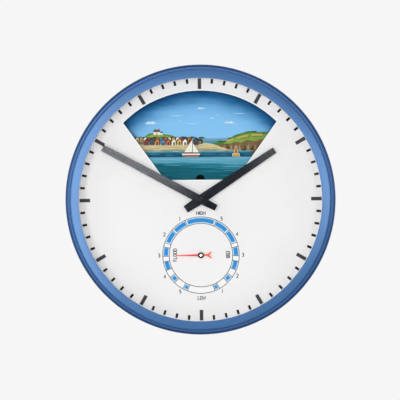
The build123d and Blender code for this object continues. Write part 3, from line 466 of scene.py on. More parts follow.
def ribbon(points, width):
    """Outline of a stroke of constant width along points."""
    left, right = [], []
    for index, (x, z) in enumerate(points):
        before = points[max(index - 1, 0)]
        after = points[min(index + 1, len(points) - 1)]
        ways = []
        for (x0, z0), (x1, z1) in ((before, (x, z)), ((x, z), after)):
            length = math.hypot(x1 - x0, z1 - z0)
            if length > 0:
                ways.append(((x1 - x0) / length, (z1 - z0) / length))
        way = Vector((sum(w[0] for w in ways), sum(w[1] for w in ways))).normalized()
        open_out = max(0.5, way.x * ways[0][0] + way.y * ways[0][1])
        side = width / 2 / open_out
        left.append((x - way.y * side, z + way.x * side))
        right.append((x + way.y * side, z - way.x * side))
    return left + right[::-1]


CLIP_MARGIN = 4.0
PICTURE_BOTTOM = 15.5


def clipped(points):
    """The part of an outline that lies above the picture's bottom and near or inside the opening's sides."""
    side = SIDE_START + CLIP_MARGIN * math.hypot(1, SIDE_SLOPE)
    limits = ((-1.0, SIDE_SLOPE, side), (1.0, SIDE_SLOPE, side), (0.0, 1.0, -PICTURE_BOTTOM))
    for across, up, spare in limits:
        kept = []
        for index, point in enumerate(points):
            last = points[index - 1]
            now = across * point[0] + up * point[1] + spare
            was = across * last[0] + up * last[1] + spare
            if (now >= 0) != (was >= 0):
                share = was / (was - now)
                kept.append(tuple(a + (b - a) * share for a, b in zip(last, point)))
            if now >= 0:
                kept.append(point)
        points = kept
    return points


def hilly(low_x, high_x, base, heights, step=1.5):
    """Outline of ground between two places: heights is a function of x, base the bottom edge."""
    count = max(2, round((high_x - low_x) / step))
    tops = [low_x + (high_x - low_x) * index / count for index in range(count + 1)]
    return [(low_x, base)] + [(x, heights(x)) for x in tops] + [(high_x, base)]


def slab(name, outlines, height, material, body, slot, thickness, rise=0.0, bevel=0.0):
    """Thin flat pieces along the wall: each outline is a list of (x, z), and may rise over the last."""
    made = bmesh.new()
    for index, outline in enumerate(outlines):
        low = -height * MM
        high = -(height + thickness + rise * index) * MM
        back = [made.verts.new((x * MM, low, z * MM)) for x, z in outline]
        face = [made.verts.new((x * MM, high, z * MM)) for x, z in outline]
        made.faces.new(back)
        made.faces.new(face[::-1])
        for side in range(len(outline)):
            after = (side + 1) % len(outline)
            made.faces.new((back[side], face[side], face[after], back[after]))
    bmesh.ops.recalc_face_normals(made, faces=made.faces)
    mesh = bpy.data.meshes.new(name)
    made.to_mesh(mesh)
    made.free()
    mesh.materials.append(material)
    obj = bpy.data.objects.new(name, mesh)
    scene.collection.objects.link(obj)
    if bevel:
        rounded(obj, bevel, 40)
    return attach(obj, body)


# Printing on the dial
dial_face = front("dial_plate")
mark_hour = ink("mark_hour", (0.055, 0.055, 0.058, 1.0), 0.45, 0.12)
mark_minute = ink("mark_minute", (0.012, 0.011, 0.012, 1.0), 0.5, 0.12)
dial_ink = ink("dial_ink", (0.028, 0.028, 0.03, 1.0), 0.55, 0.1)
ring_white = ink("ring_white", (0.9, 0.885, 0.88, 1.0), 0.5, 0.01)
ring_blue = ink("ring_blue", rgb(48, 142, 214), 0.5, 0.04)
ring_halo = ink("ring_halo", rgb(150, 196, 228), 0.5, 0.03)
edge_white = ink("edge_white", (0.97, 0.97, 0.965, 1.0), 0.5, 0.01)


def dial_print(name, outlines, material, thickness, **options):
    """Printed outlines on the dial's face."""
    return slab(name, outlines, dial_face, material, "case", "dial_white", thickness, **options)


def clock_place(angle, radius, centre_z=0.0):
    """A place by its angle, clockwise from the top in degrees, and its distance from a centre."""
    turn = math.radians(angle)
    return (radius * math.sin(turn), centre_z + radius * math.cos(turn))


def mark(angle, inner, outer, width):
    """Outline of a straight mark that points to the dial's centre."""
    turn = math.radians(angle)
    across, along = (math.cos(turn), -math.sin(turn)), (math.sin(turn), math.cos(turn))
    corners = ((-width / 2, inner), (width / 2, inner), (width / 2, outer), (-width / 2, outer))
    return [(u * across[0] + v * along[0], u * across[1] + v * along[1]) for u, v in corners]


HOUR_START, HOUR_WIDTH = 123.0, 3.9
MINUTE_START, MINUTE_WIDTH = 129.5, 2.6
MARKS_END = 134.7
dial_print(
    "hour_marks", [mark(30 * hour, HOUR_START, MARKS_END, HOUR_WIDTH) for hour in range(12)],
    mark_hour, 0.25, bevel=0.08,
)
dial_print(
    "minute_marks",
    [mark(6 * minute, MINUTE_START, MARKS_END, MINUTE_WIDTH) for minute in range(60) if minute % 5],
    mark_minute, 0.2, bevel=0.06,
)

# White edge round the picture opening, brighter than the dial's face
EDGE_WIDTH = 0.9
EDGE_HALF = OPENING_BOTTOM_HALF + EDGE_WIDTH


def beside_opening(side):
    """White edge along one slanting side of the opening: side is -1 for left and 1 for right."""
    away = EDGE_WIDTH * math.hypot(1, SIDE_SLOPE)
    return [
        (side * OPENING_BOTTOM_HALF, OPENING_BOTTOM), (side * CORNER_X, CORNER_Z),
        (side * (CORNER_X + away), CORNER_Z), (side * (OPENING_BOTTOM_HALF + away), OPENING_BOTTOM),
    ]


dial_print(
    "opening_edge",
    [
        beside_opening(-1), beside_opening(1),
        band(0.0, OPENING_RADIUS, OPENING_RADIUS + EDGE_WIDTH, -OPENING_ANGLE, OPENING_ANGLE, 48),
        [
            (-EDGE_HALF, OPENING_BOTTOM), (EDGE_HALF, OPENING_BOTTOM),
            (EDGE_HALF, OPENING_BOTTOM - EDGE_WIDTH), (-EDGE_HALF, OPENING_BOTTOM - EDGE_WIDTH),
        ],
    ],
    edge_white, 0.04,
)

# Tide ring: pale cells with blue segments that shrink from high water to low
RING_INNER, RING_OUTER, RING_LINE = 35.4, 42.6, 0.7
BLUE_INNER, BLUE_OUTER, HALO = 36.95, 41.1, 0.65
DIVIDER_LINE = 0.62
quarters = (0, 90, 180, 270)
dial_print(
    "tide_ring_cells", [band(TIDE_Z, RING_INNER, RING_OUTER, start, start + 90) for start in quarters],
    ring_white, 0.03,
)
dial_print(
    "tide_ring_lines",
    [
        band(TIDE_Z, radius - RING_LINE / 2, radius + RING_LINE / 2, start, start + 90)
        for radius in (RING_INNER, RING_OUTER) for start in quarters
    ],
    dial_ink, 0.06,
)
blue = [band(TIDE_Z, BLUE_INNER, BLUE_OUTER, -21.3, 21.3)]
halos = [band(TIDE_Z, BLUE_INNER - HALO, BLUE_OUTER + HALO, -22.2, 22.2)]
# Each row: start and end angle, how much narrower the blue is, and the halo's angle beyond it
segments = (
    (25.8, 45.8, 0.0, 0.9), (50.3, 68.0, 0.0, 0.9), (78.3, 90.2, 0.0, 0.9), (100.2, 112.6, 0.0, 0.9),
    (127.6, 133.6, 0.3, 1.4), (153.2, 157.0, 0.5, 1.4),
)
for side in (1, -1):
    for start, end, inset, beyond in segments:
        steps = 6 if inset else 10
        blue.append(band(TIDE_Z, BLUE_INNER + inset, BLUE_OUTER - inset, side * start, side * end, steps))
        low, high = side * (start - beyond), side * (end + beyond)
        halos.append(band(TIDE_Z, BLUE_INNER - HALO, BLUE_OUTER + HALO, low, high, steps))
dial_print("tide_ring_halos", halos, ring_halo, 0.045)
dial_print("tide_ring_segments", blue, ring_blue, 0.06)
dividers = [24.2, 48.7, 70.4, 76.9, 91.5, 99.9, 113.7, 125.0, 136.0, 151.0, 159.0]
dial_print(
    "tide_ring_dividers",
    [
        ribbon([clock_place(side * angle, end, TIDE_Z) for end in (RING_INNER, RING_OUTER)], DIVIDER_LINE)
        for side in (1, -1) for angle in dividers
    ],
    dial_ink, 0.05,
)

# Letters and numerals as strokes in a unit box: (width, strokes)
round_top = bow(0.5, 0.7, 0.5, 0.3, 0, 180)
round_foot = bow(0.5, 0.3, 0.5, 0.3, 180, 360)
glyphs = {
    "H": (1.0, [[(0, 0), (0, 1)], [(1, 0), (1, 1)], [(0, 0.52), (1, 0.52)]]),
    "I": (0.0, [[(0, 0), (0, 1)]]),
    "G": (1.0, [bow(0.5, 0.7, 0.5, 0.3, 15, 180) + round_foot + [(1, 0.5), (0.55, 0.5)]]),
    "L": (0.85, [[(0, 1), (0, 0), (1, 0)]]),
    "O": (1.05, [round_top + round_foot + [(1, 0.7)]]),
    "W": (1.6, [[(0, 1), (0.26, 0), (0.5, 0.9), (0.74, 0), (1, 1)]]),
    "F": (0.85, [[(1, 1), (0, 1), (0, 0)], [(0, 0.53), (0.85, 0.53)]]),
    "D": (1.05, [
        [(0, 0), (0, 1)] + bow(0.35, 0.62, 0.65, 0.38, 90, 0)
        + bow(0.35, 0.38, 0.65, 0.38, 0, -90) + [(0, 0)],
    ]),
    "E": (0.85, [[(1, 1), (0, 1), (0, 0), (1, 0)], [(0, 0.53), (0.85, 0.53)]]),
    "B": (1.0, [
        [(0, 0), (0, 1)] + bow(0.5, 0.765, 0.42, 0.235, 90, -90) + [(0, 0.53)],
        [(0.4, 0.53)] + bow(0.5, 0.265, 0.5, 0.265, 90, -90) + [(0, 0)],
    ]),
    "1": (0.5, [[(0, 0.78), (0.7, 1), (0.7, 0)]]),
    "2": (1.0, [bow(0.5, 0.72, 0.48, 0.28, 170, -25) + [(0, 0), (1, 0)]]),
    "3": (1.0, [bow(0.48, 0.76, 0.44, 0.24, 155, -90) + bow(0.48, 0.26, 0.5, 0.26, 90, -155)]),
    "4": (1.0, [[(0.74, 0), (0.74, 1), (0, 0.27), (1.05, 0.27)]]),
    "5": (1.0, [[(0.93, 1), (0.12, 1), (0.08, 0.55)] + bow(0.48, 0.32, 0.5, 0.32, 125, -150)]),
}
LETTER_STROKE = 0.76
LETTER_GAP = 0.42
LETTER_RISE = 0.0015


def word(text, centre_x, centre_z, width, height, turn=0.0):
    """Outlines of a word set in a box of the given size, turned anticlockwise about its middle."""
    natural = sum(glyphs[letter][0] for letter in text) + LETTER_GAP * (len(text) - 1)
    unit = (width - LETTER_STROKE) / natural if natural else 0.0
    tall = height - LETTER_STROKE
    outlines = []
    x = -natural / 2
    cosine, sine = math.cos(math.radians(turn)), math.sin(math.radians(turn))
    for letter in text:
        wide, strokes = glyphs[letter]
        for stroke in strokes:
            placed = []
            for u, v in stroke:
                right, up = (x + u * wide) * unit, (v - 0.5) * tall
                placed.append((centre_x + right * cosine - up * sine, centre_z + right * sine + up * cosine))
            outlines.append(ribbon(placed, LETTER_STROKE))
        x += wide + LETTER_GAP
    return outlines


words = word("HIGH", 0.3, -15.1, 10.4, 4.6) + word("LOW", 0.5, -109.7, 9.2, 4.4)
words += word("FLOOD", -28.9, TIDE_Z + 0.4, 14.5, 4.7, 90) + word("EBB", 30.1, TIDE_Z + 0.3, 7.9, 4.7, -90)
dial_print("tide_words", words, dial_ink, 0.05, rise=LETTER_RISE)
NUMERAL_RADIUS, NUMERAL_HEIGHT = 46.7, 4.7
numeral_angles = (30, 60, 90, 120, 150, 210, 240, 270, 300, 330)
numerals = []
for angle, digit in zip(numeral_angles, "5432154321"):
    width = 1.7 if digit == "1" else 2.6
    numerals += word(digit, *clock_place(angle, NUMERAL_RADIUS, TIDE_Z), width, NUMERAL_HEIGHT)
dial_print("tide_numerals", numerals, dial_ink, 0.05, rise=LETTER_RISE)


# Picture: a generic seaside, painted in flat layers on the board
picture_faces = {"case": front("picture_board"), "sea": front("sea_plate")}
picture_slots = {"case": "picture_print", "sea": "sea_print"}
PICTURE_HALF = 84
LAYER = 0.03
layers_used = {"case": 0, "sea": 0}
paints = {}


def painted(name, colour, outlines, body="case", spread=0.1, scale=160.0, lift=None):
    """One colour of the picture, on the next layer of the board or of the sea plate."""
    layers_used[body] += 1
    material = paints.get(colour)
    if material is None:
        paint = Paint(f"picture_{name}", rgb(*colour), 0.6, Specular_IOR_Level=0.05)
        paint.mottled(spread, scale).relief(paint.noise(2600.0, 2.0), 0.006, 0.5)
        material = paints[colour] = paint.material
    thickness = LAYER * (layers_used[body] if lift is None else lift)
    return slab(name, outlines, picture_faces[body], material, body, picture_slots[body], thickness)


def land(base, heights, left=-PICTURE_HALF, right=PICTURE_HALF):
    """Outline of land or water between two places, cut to the opening."""
    return clipped(hilly(left, right, base, heights))


def puff(centre_x, base, width, height, humps):
    """Outline of a flat-bottomed cloud or bush of rounded humps: (place, size) as shares of the width."""
    def top(x):
        share = (x - centre_x) / width + 0.5
        rise = 0.0
        for place, size in humps:
            inside = 1 - ((share - place) / size) ** 2
            rise = max(rise, math.sqrt(inside) * size * 2 if inside > 0 else 0.0)
        return base + height * rise
    return hilly(centre_x - width / 2, centre_x + width / 2, base - 0.08 * height, top, width / 24)


def streak(centre_x, z, length, thickness, sag=0.0):
    """Outline of a long wave mark with pointed ends."""
    steps = 14
    upper, lower = [], []
    for index in range(steps + 1):
        share = index / steps
        x = centre_x + length * (share - 0.5)
        middle = z + sag * math.sin(share * math.pi * 2)
        half = thickness / 2 * math.sin(share * math.pi) ** 0.7
        upper.append((x, middle + half))
        lower.append((x, middle - half * 0.7))
    return upper + lower[::-1][1:-1]


# Clouds
painted("cloud_shade", (158, 200, 230), [
    puff(-54, 84.6, 15, 5.4, ((0.3, 0.24), (0.6, 0.3), (0.85, 0.15))),
    puff(2, 101, 11, 3.4, ((0.35, 0.26), (0.7, 0.22))),
    puff(34, 84.5, 15, 4.2, ((0.25, 0.22), (0.55, 0.3), (0.82, 0.17))),
])
painted("cloud_light", (206, 226, 240), [
    puff(-55.5, 85.2, 11, 4.2, ((0.35, 0.26), (0.7, 0.24))),
    puff(1, 101.4, 7.5, 2.6, ((0.4, 0.3), (0.75, 0.2))),
    puff(32.5, 85.0, 10.5, 3.3, ((0.3, 0.26), (0.65, 0.28))),
    streak(-26, 93.5, 18, 0.7), streak(44, 95.5, 14, 0.6), streak(-8, 84.5, 14, 0.6, 0.2),
])


def far_hills(x):
    return 67.4 + 1.2 * math.sin(x / 11.0) + 0.6 * math.sin(x / 4.7 + 1.0)


def hillside(x):
    knoll = 13.0 * math.exp(-((x + 46.0) / 26.0) ** 2)
    return 62.0 + knoll + 0.7 * math.sin(x / 5.0) + 0.3 * math.sin(x / 1.9)


def downs(x):
    slope = 14.0 / (1 + math.exp(-(x - 31.0) / 7.0))
    return 61.0 + slope + 0.9 * math.sin(x / 7.0) + 0.4 * math.sin(x / 2.7)


def beach_top(x):
    return 63.4 + 0.3 * math.sin(x / 9.0) - 9.0 / (1 + math.exp(-(x - 22.0) / 6.0))


painted("far_hills", (118, 162, 186), [land(58, far_hills)])
painted("far_sea", (80, 146, 176), [land(58, lambda x: 65.4)])
painted("downs", (84, 128, 60), [land(52, downs, 2, 86)], spread=0.22, scale=90.0)
painted("downs_light", (132, 164, 74), [
    land(62, lambda x: downs(x) - 1.5 - 1.2 * math.sin(x / 5.0) ** 2, 26),
], spread=0.16, scale=120.0)
painted("fields", (186, 172, 92), [
    clipped([(40, 69.5), (52, 72.2), (54, 69.8), (43, 67.0)]),
    clipped([(57, 72.4), (70, 73.0), (69, 70.2), (58, 69.9)]),
    clipped([(29, 65.6), (36, 68.6), (38, 66.4), (31, 64.0)]),
])
painted("hedges", (50, 84, 44), [
    ribbon([(40, 69.5), (46, 71.1), (52, 72.3)], 0.5), ribbon([(54, 69.6), (57, 72.5)], 0.5),
    ribbon([(43, 66.9), (49, 68.5), (55, 69.7)], 0.5), ribbon([(57.5, 69.8), (69, 70.2)], 0.5),
    puff(33, 67.4, 4.2, 2.4, ((0.35, 0.3), (0.7, 0.28))),
    puff(60.5, 74.8, 6, 2.2, ((0.3, 0.26), (0.7, 0.28))),
    puff(23, 64.2, 6.4, 2.2, ((0.3, 0.26), (0.7, 0.28))),
])

# Green hillside at the left with trees and a white cottage
painted("hillside", (92, 140, 60), [land(58, hillside, right=16)], spread=0.24, scale=110.0)
painted("hillside_light", (142, 172, 78), [
    land(66, lambda x: hillside(x) - 1.3 - 0.9 * math.sin(x / 4.0) ** 2, -72, -22),
], spread=0.18, scale=140.0)


def block(left, right, low, high):
    """Outline of an upright rectangle."""
    return [(left, low), (right, low), (right, high), (left, high)]


painted("cottage_wall", (236, 230, 216), [
    block(-52, -44.5, 72.6, 75.8), block(-44.5, -41.4, 72.6, 74.8),
], spread=0.04)
painted("cottage_roof", (92, 84, 88), [
    [(-52.7, 75.6), (-43.9, 75.6), (-45.4, 78.2), (-51.2, 78.2)],
    [(-44.5, 74.6), (-40.8, 74.6), (-41.8, 76.0), (-44.5, 76.0)],
])
painted("cottage_trim", (168, 88, 62), [
    block(-50.9, -49.6, 78, 79.3), block(-46.6, -45.3, 78, 79.3), block(-48.8, -47.7, 72.6, 74.6),
])
TREES = 13
random.seed(11)
for name, colour, base, tall in (
    ("wood_far", (62, 92, 52), 68.6, 2.6),
    ("wood_near", (44, 68, 42), 66.6, 2.8),
    ("wood_lit", (104, 128, 64), 65.8, 1.7),
):
    trees = []
    for index in range(TREES):
        x = -73.0 + index * 6.1 + random.uniform(-1.4, 1.4)
        wide, rise = random.uniform(4.6, 7.4), tall * random.uniform(0.7, 1.25)
        crown = puff(x, base + 0.4 * math.sin(index), wide, rise, ((0.26, 0.22), (0.55, 0.28), (0.82, 0.17)))
        trees.append(clipped(crown))
    painted(name, colour, [tree for tree in trees if len(tree) > 2], spread=0.25, scale=260.0)

# Cliff at the right
painted("cliff", (124, 100, 72), [
    clipped([
        (14, 52), (18, 57.5), (22, 60.6), (27, 62.2), (33, 61.4), (39, 64.0),
        (46, 63.0), (53, 66.0), (60, 64.6), (68, 66.8), (80, 66), (80, 52),
    ]),
], spread=0.24, scale=260.0)
painted("cliff_shade", (84, 66, 48), [
    clipped([(x, 52), (x + 1.4, 57.5), (x + 2.6, 60.3), (x + 3.6, 58.4), (x + 3.9, 52)])
    for x in (20.5, 28.6, 36.2, 47.5, 56.0, 62.5)
], spread=0.2, scale=260.0)
painted("cliff_light", (164, 140, 102), [
    clipped([(x, 54), (x + 0.7, 59.6), (x + 2.4, 61.2), (x + 2.1, 54.6)])
    for x in (25.2, 33.4, 42.6, 52.4, 60.2)
], spread=0.16, scale=260.0)
painted("cliff_foot", (74, 60, 46), [
    land(50, lambda x: 54.8 + 0.9 * math.sin(x / 2.3) + 0.5 * math.sin(x / 0.9), 22, 82),
], spread=0.24, scale=320.0)

# Beach with wet sand
BEACH_FOOT, BEACH_END = 50.4, 46
painted("sand", (214, 196, 152), [land(BEACH_FOOT, beach_top, right=BEACH_END)], spread=0.06, scale=300.0)
painted("sand_dark", (182, 168, 122), [
    streak(-34, 58.7, 34, 1.2, 0.3), streak(0, 60.2, 26, 0.9, -0.25), streak(14, 57.4, 24, 1.0, 0.2),
    streak(-6, 57.3, 34, 0.9, 0.3), streak(-50, 57.0, 20, 1.0, -0.2),
])
painted("sand_wet", (158, 152, 118), [
    land(BEACH_FOOT, lambda x: 56.0 + 0.5 * math.sin(x / 6.0) + 0.25 * math.sin(x / 2.3), right=BEACH_END),
], spread=0.08)

# Two rows of beach huts in front of a hedge, the far one on a low wall
def hedge_top(x):
    return 69.6 + 0.7 * math.sin(x / 1.7) + 0.5 * math.sin(x / 0.8 + 1) - 4.0 / (1 + math.exp(-x / 1.5))


painted("hedge", (66, 72, 44), [land(62, hedge_top, right=3)], spread=0.3, scale=420.0)
painted("sea_wall", (150, 130, 100), [
    clipped([(-PICTURE_HALF, 62.6), (2, 62.6), (0, 65.4), (-PICTURE_HALF, 65.4)]),
], spread=0.16, scale=300.0)
painted("wall_courses", (104, 88, 68), [
    clipped(ribbon([(-82, z), (0.5, z)], 0.22)) for z in (63.5, 64.4, 65.3)
])
HUT_COLOURS = (
    (206, 132, 62), (236, 226, 202), (140, 72, 52), (96, 140, 172),
    (222, 178, 96), (74, 86, 100), (190, 104, 66), (240, 236, 224),
)


def hut_row(row, left, base, step, count, wide, wall, rise):
    """A row of gabled huts: bodies by colour, then shaded sides, roofs, doors and steps."""
    bodies, shades, roofs, doors, porches = {}, [], [], [], []
    half = wide / 2
    for index in range(count):
        x = left + index * step
        foot = base + 0.2 * math.sin(index * 1.3)
        eaves, peak = foot + wall, foot + wall + rise
        colour = HUT_COLOURS[(index * 3 + row) % len(HUT_COLOURS)]
        bodies.setdefault(colour, []).append([
            (x - half, foot), (x + half, foot), (x + half, eaves), (x, peak), (x - half, eaves),
        ])
        shades.append([
            (x + 0.66 * half, foot), (x + half, foot), (x + half, eaves),
            (x + 0.66 * half, eaves + 0.25 * rise),
        ])
        roofs.append(ribbon([
            (x - half - 0.4, eaves - 0.3), (x, peak + 0.2), (x + half + 0.4, eaves - 0.3),
        ], 0.13 * wide))
        doors.append(block(x - 0.4 * half, x + 0.3 * half, foot + 0.3, foot + 0.7 * wall))
        porches.append(block(x - 0.6 * half, x + 0.5 * half, foot - 0.5, foot + 0.3))
    lift = layers_used["case"] + 1
    for number, (colour, outlines) in enumerate(bodies.items()):
        painted(f"huts_{row}_{number + 1}", colour, outlines, spread=0.1, scale=500.0, lift=lift)
    layers_used["case"] = lift
    painted(f"hut_shades_{row}", (96, 76, 62), shades)
    painted(f"hut_roofs_{row}", (62, 54, 56), roofs)
    painted(f"hut_doors_{row}", (58, 78, 98), doors)
    painted(f"hut_porches_{row}", (200, 184, 152), porches)


hut_row(1, -70.0, 65.4, 4.5, 15, 3.9, 3.1, 1.6)
hut_row(2, -60.0, 60.8, 6.2, 10, 5.3, 4.6, 2.4)

# Water behind the sea plate, split round the board's notch
WATER_FOOT, BACK_SEA_FOOT = 40, 16
NOTCH_HALF, NOTCH_TOP = 5.6, 28.7
painted("shore_water", (96, 164, 174), [
    land(WATER_FOOT, lambda x: 54.2 + 0.25 * math.sin(x / 7.0) + 0.12 * math.sin(x / 2.1)),
], spread=0.08)
painted("back_sea", (54, 122, 150), [
    land(WATER_FOOT, lambda x: 53.0 + 0.2 * math.sin(x / 5.0 + 2)),
], spread=0.12)
notch_side = [(0, NOTCH_TOP)] + bow(0, NOTCH_TOP - NOTCH_HALF, NOTCH_HALF, NOTCH_HALF, 90, 0)
painted("back_sea_dark", (34, 90, 120), [
    clipped(
        [(side * PICTURE_HALF, NOTCH_TOP)] + [(side * x, z) for x, z in notch_side]
        + [(side * NOTCH_HALF, BACK_SEA_FOOT), (side * PICTURE_HALF, BACK_SEA_FOOT)]
    )
    for side in (1, -1)
] + [
    land(NOTCH_TOP, lambda x: 51.6 + 0.25 * math.sin(x / 8.0) + 0.15 * math.sin(x / 2.6)),
], spread=0.16)
painted("back_sea_streaks", (96, 158, 180), [
    streak(x, z, length, 0.5, 0.1)
    for x, z, length in ((-52, 50.6, 16), (-34, 49.7, 12), (8, 50.4, 20), (26, 49.6, 14), (54, 50.3, 16))
])
painted("foam", (206, 226, 226), [
    streak(x, 54.1 + 0.2 * math.sin(x), length, 0.45)
    for x, length in ((-48, 12), (-27, 9), (-3, 14), (22, 11))
])
painted("rocks", (104, 86, 66), [
    [(56, 51.4), (57.2, 54), (59, 55.6), (60.6, 54.4), (61.8, 52.6), (62.4, 51.4)],
    [(27.5, 52.4), (28.4, 53.6), (29.8, 54.0), (31, 52.4)],
])
painted("rock_lights", (164, 142, 112), [
    [(57.6, 53), (58.2, 54.4), (59.1, 55), (59.2, 53.4)], [(28.3, 52.8), (29, 53.6), (29.6, 53)],
])
wings = ((-1.9, 0.5), (-0.9, 1.0), (0, 0), (0.9, 1.0), (1.9, 0.5))
painted("gulls", (236, 238, 238), [
    ribbon([(x + size * u, z + size * v) for u, v in wings], 0.38 * size)
    for x, z, size in ((14, 90, 1.0), (20, 93.5, 0.8), (-22, 87.5, 0.9))
])

# Waves on the sea plate, clear of its slot: pale at the top and the right, deep below
painted("wave_deep", (20, 92, 108), [
    streak(-40, 37.2, 44, 3.4, 0.5), streak(-14, 33.8, 62, 3.6, 0.4), streak(-30, 30.0, 56, 3.2, -0.4),
    streak(22, 28.6, 42, 2.4, 0.3), streak(-36, 24.0, 42, 3.0, 0.3), streak(40, 23.0, 44, 2.4, 0.3),
    streak(-34, 12.0, 40, 2.0, 0.3), streak(36, 10.0, 44, 2.0, 0.3),
], "sea", 0.06)
painted("wave_mid", (46, 128, 148), [
    streak(-16, 39.6, 54, 1.6, 0.3), streak(26, 37.6, 64, 2.6, -0.3), streak(40, 34.2, 50, 2.4, 0.3),
    streak(6, 35.8, 40, 1.3, 0.2), streak(54, 30.4, 40, 2.2, 0.2), streak(-46, 27.0, 26, 1.0, 0.2),
    streak(14, 31.2, 26, 1.0, 0.2), streak(38, 26.4, 36, 1.3, 0.2), streak(-38, 18.0, 36, 1.2, 0.2),
], "sea", 0.08)
painted("wave_light", (92, 160, 184), [
    streak(-46, 41.6, 50, 2.0, 0.4), streak(10, 41.2, 56, 2.4, 0.3), streak(50, 39.8, 56, 3.2, -0.3),
    streak(46, 36.2, 46, 1.9, 0.3), streak(58, 33.2, 36, 1.7, 0.2), streak(-30, 38.3, 22, 0.8, 0.2),
    streak(36, 32.0, 22, 0.7, 0.1),
], "sea", 0.06)
painted("sea_edge", (44, 104, 128), [
    ribbon([(x, SEA_TOP - 0.22) for x in (-72, -24, 24, 72)], 0.4),
], "sea", 0.05)
painted("wave_crests", (124, 186, 204), [
    streak(-40, 45.2, 34, 0.8, 0.2), streak(4, 44.4, 40, 0.9, 0.2), streak(42, 45.4, 36, 0.8, -0.2),
    streak(24, 42.6, 30, 0.6, 0.1), streak(58, 42.0, 22, 0.7, 0.1), streak(-58, 43.2, 20, 0.6),
], "sea", 0.05)

# Boat and buoy, painted inside the pale edge of their cut-outs
cutout_face = front("boat_cutout")


def afloat(name, colour, outlines, x, lift):
    """One colour on a cut-out on the sea plate: outlines are about its place on the sea's edge."""
    moved = [[(x + u, SEA_TOP + v) for u, v in outline] for outline in outlines]
    material = ink(f"paint_{name}", rgb(*colour), 0.55, 0.07, 500.0)
    return slab(name, moved, cutout_face, material, "sea", "cutout_print", LAYER * lift)


BOAT_X, BUOY_X = -10.0, 40.0
afloat("boat_hull", (176, 66, 48), [[(-8.6, 0.2), (7.3, 0.2), (8.8, 2.0), (-9.7, 2.0)]], BOAT_X, 1)
afloat("boat_strake", (240, 236, 224), [[(-9.7, 2.0), (8.8, 2.0), (9.7, 3.2), (-10.0, 3.2)]], BOAT_X, 2)
afloat("boat_sails", (244, 240, 226), [
    [(-7.1, 5.3), (1.0, 5.3), (1.0, 17.5)], [(2.2, 5.3), (8.0, 5.3), (2.2, 14.4)],
], BOAT_X, 1)
afloat("boat_seams", (196, 186, 160), [
    ribbon([(-4.9, 8.2), (1.0, 8.2)], 0.22), ribbon([(-2.8, 11.4), (1.0, 11.4)], 0.22),
    ribbon([(2.3, 8.0), (6.0, 8.0)], 0.22), ribbon([(2.3, 11.0), (4.2, 11.0)], 0.22),
], BOAT_X, 2)
afloat("boat_spars", (122, 84, 52), [
    ribbon([(1.5, 3.2), (1.5, 19.2)], 0.6), ribbon([(-7.6, 4.9), (1.5, 4.9)], 0.5),
], BOAT_X, 3)
afloat("boat_pennant", (206, 84, 52), [[(1.35, 17.6), (1.35, 19.2), (1.75, 19.2), (1.75, 17.6)]], BOAT_X, 4)
afloat("buoy_body", (226, 168, 42), [block(-3.7, 3.7, 0.2, 2.7)], BUOY_X, 1)
afloat("buoy_cage", (196, 124, 38), [[(-2.1, 3.2), (2.1, 3.2), (0.75, 9.4), (-0.75, 9.4)]], BUOY_X, 1)
afloat("buoy_bars", (70, 62, 58), [
    ribbon([(-1.3, 3.3), (-0.4, 9.2)], 0.3), ribbon([(1.3, 3.3), (0.4, 9.2)], 0.3),
    ribbon([(-1.5, 5.9), (1.5, 5.9)], 0.35), ribbon([(-3.7, 1.4), (3.7, 1.4)], 0.35),
], BUOY_X, 2)
afloat("buoy_lamp", (196, 60, 46), [bow(0, 10.45, 1.0, 1.0, 0, 345, 16)], BUOY_X, 2)


# Floor, light and camera
def staged_floor():
    """A wide pale floor, well below the clock, that fades out at its rim."""
    drop, radius, fade_start, fade_end = 0.8, 2.0, 0.7, 1.9
    made = bmesh.new()
    bmesh.ops.create_circle(made, cap_ends=True, segments=96, radius=radius)
    mesh = bpy.data.meshes.new("floor")
    made.to_mesh(mesh)
    made.free()
    floor = bpy.data.objects.new("floor", mesh)
    floor.location = (0.0, 0.0, -drop)
    scene.collection.objects.link(floor)
    paint = Paint("floor_pale", (0.85, 0.85, 0.85, 1.0), 0.8, Specular_IOR_Level=0.1)
    paint.mottled(0.01, 3.0)
    distance = paint.node("ShaderNodeVectorMath", {0: paint.place}, operation="LENGTH").outputs["Value"]
    fade = paint.node(
        "ShaderNodeMapRange", {"Value": distance}, {"From Min": fade_start, "From Max": fade_end},
        interpolation_type="SMOOTHSTEP",
    ).outputs["Result"]
    clear = paint.node("ShaderNodeBsdfTransparent")
    both = paint.node("ShaderNodeMixShader", {0: fade, 1: paint.shader.outputs[0], 2: clear.outputs[0]})
    paint.tree.links.new(both.outputs[0], paint.tree.nodes["Material Output"].inputs["Surface"])
    mesh.materials.append(paint.material)
    floor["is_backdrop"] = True


def lamp(name, place, size, watts):
    """A soft rectangular lamp that faces the clock."""
    data = bpy.data.lights.new(name, "AREA")
    data.shape = "RECTANGLE"
    data.size, data.size_y = size
    data.energy = watts
    obj = bpy.data.objects.new(name, data)
    obj.location = place
    obj.rotation_euler = (-Vector(place)).to_track_quat("-Z", "Y").to_euler()
    scene.collection.objects.link(obj)


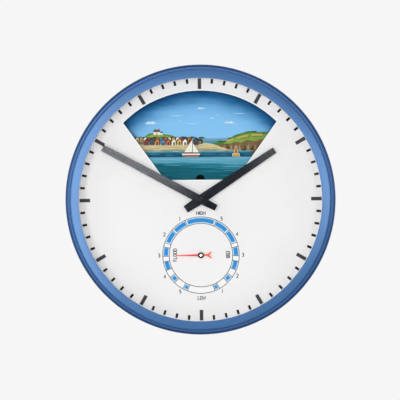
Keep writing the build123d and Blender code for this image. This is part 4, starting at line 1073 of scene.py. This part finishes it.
def pale_world(shown, below, above):
    """A pale surround as the camera and reflections see it, and dimmer as a light, most so from below."""
    world = bpy.data.worlds.new("surround")
    scene.world = world
    world.use_nodes = True
    tree = world.node_tree
    tree.nodes.clear()
    path = tree.nodes.new("ShaderNodeLightPath")
    total = path.outputs["Is Camera Ray"]
    for ray in ("Is Glossy Ray", "Is Transmission Ray"):
        either = tree.nodes.new("ShaderNodeMath")
        either.operation = "MAXIMUM"
        tree.links.new(total, either.inputs[0])
        tree.links.new(path.outputs[ray], either.inputs[1])
        total = either.outputs[0]
    split = tree.nodes.new("ShaderNodeSeparateXYZ")
    tree.links.new(tree.nodes.new("ShaderNodeTexCoord").outputs["Generated"], split.inputs[0])
    rise = tree.nodes.new("ShaderNodeMapRange")
    for socket, value in (("From Min", -1.0), ("From Max", 1.0), ("To Min", below), ("To Max", above)):
        rise.inputs[socket].default_value = value
    tree.links.new(split.outputs["Z"], rise.inputs["Value"])
    lights = []
    for colour in ((1.0, 0.995, 0.985, 1.0), (shown, shown, shown, 1.0)):
        made = tree.nodes.new("ShaderNodeBackground")
        made.inputs["Color"].default_value = colour
        lights.append(made)
    tree.links.new(rise.outputs["Result"], lights[0].inputs["Strength"])
    mix = tree.nodes.new("ShaderNodeMixShader")
    tree.links.new(total, mix.inputs[0])
    for index, made in enumerate(lights):
        tree.links.new(made.outputs[0], mix.inputs[index + 1])
    output = tree.nodes.new("ShaderNodeOutputWorld")
    tree.links.new(mix.outputs[0], output.inputs["Surface"])


def photo_camera():
    """Camera a little to the right of the clock's axis and a little above it."""
    distance, frame_width, sensor = 2.0, 0.4438, 36.0
    right, above, roll = math.radians(1.1), math.radians(1.1), math.radians(-0.52)
    aim = Vector((-0.0004, -0.043, -0.00035))
    back = Vector((
        math.sin(right) * math.cos(above), -math.cos(right) * math.cos(above), math.sin(above)
    ))
    data = bpy.data.cameras.new("camera")
    data.sensor_width = sensor
    data.lens = sensor * distance / frame_width
    data.clip_start, data.clip_end = 0.05, 50.0
    camera = bpy.data.objects.new("camera", data)
    camera.location = aim + back * distance
    turn = (-back).to_track_quat("-Z", "Y").to_matrix().to_4x4()
    camera.rotation_euler = (turn @ Matrix.Rotation(roll, 4, "Z")).to_euler()
    scene.collection.objects.link(camera)
    scene.camera = camera


staged_floor()
lamp("key_left", (-0.95, -1.7, 0.03), (0.65, 1.7), 13.2)
lamp("fill_right", (0.95, -1.7, 0.05), (0.65, 0.7), 5.6)
lamp("side_left", (-1.9, -0.8, 0.2), (0.6, 1.4), 6.0)
lamp("side_right", (1.9, -0.8, 0.2), (0.6, 1.0), 5.0)
lamp("card_left", (-0.25, -2.0, 0.135), (0.36, 0.34), 7.4)
lamp("card_right", (0.255, -2.0, 0.1), (0.32, 0.34), 3.5)
lamp("back_fill", (0.4, 2.0, 1.2), (1.4, 1.4), 12.0)
pale_world(shown=0.924, below=0.0, above=0.42)
photo_camera()

low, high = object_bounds()
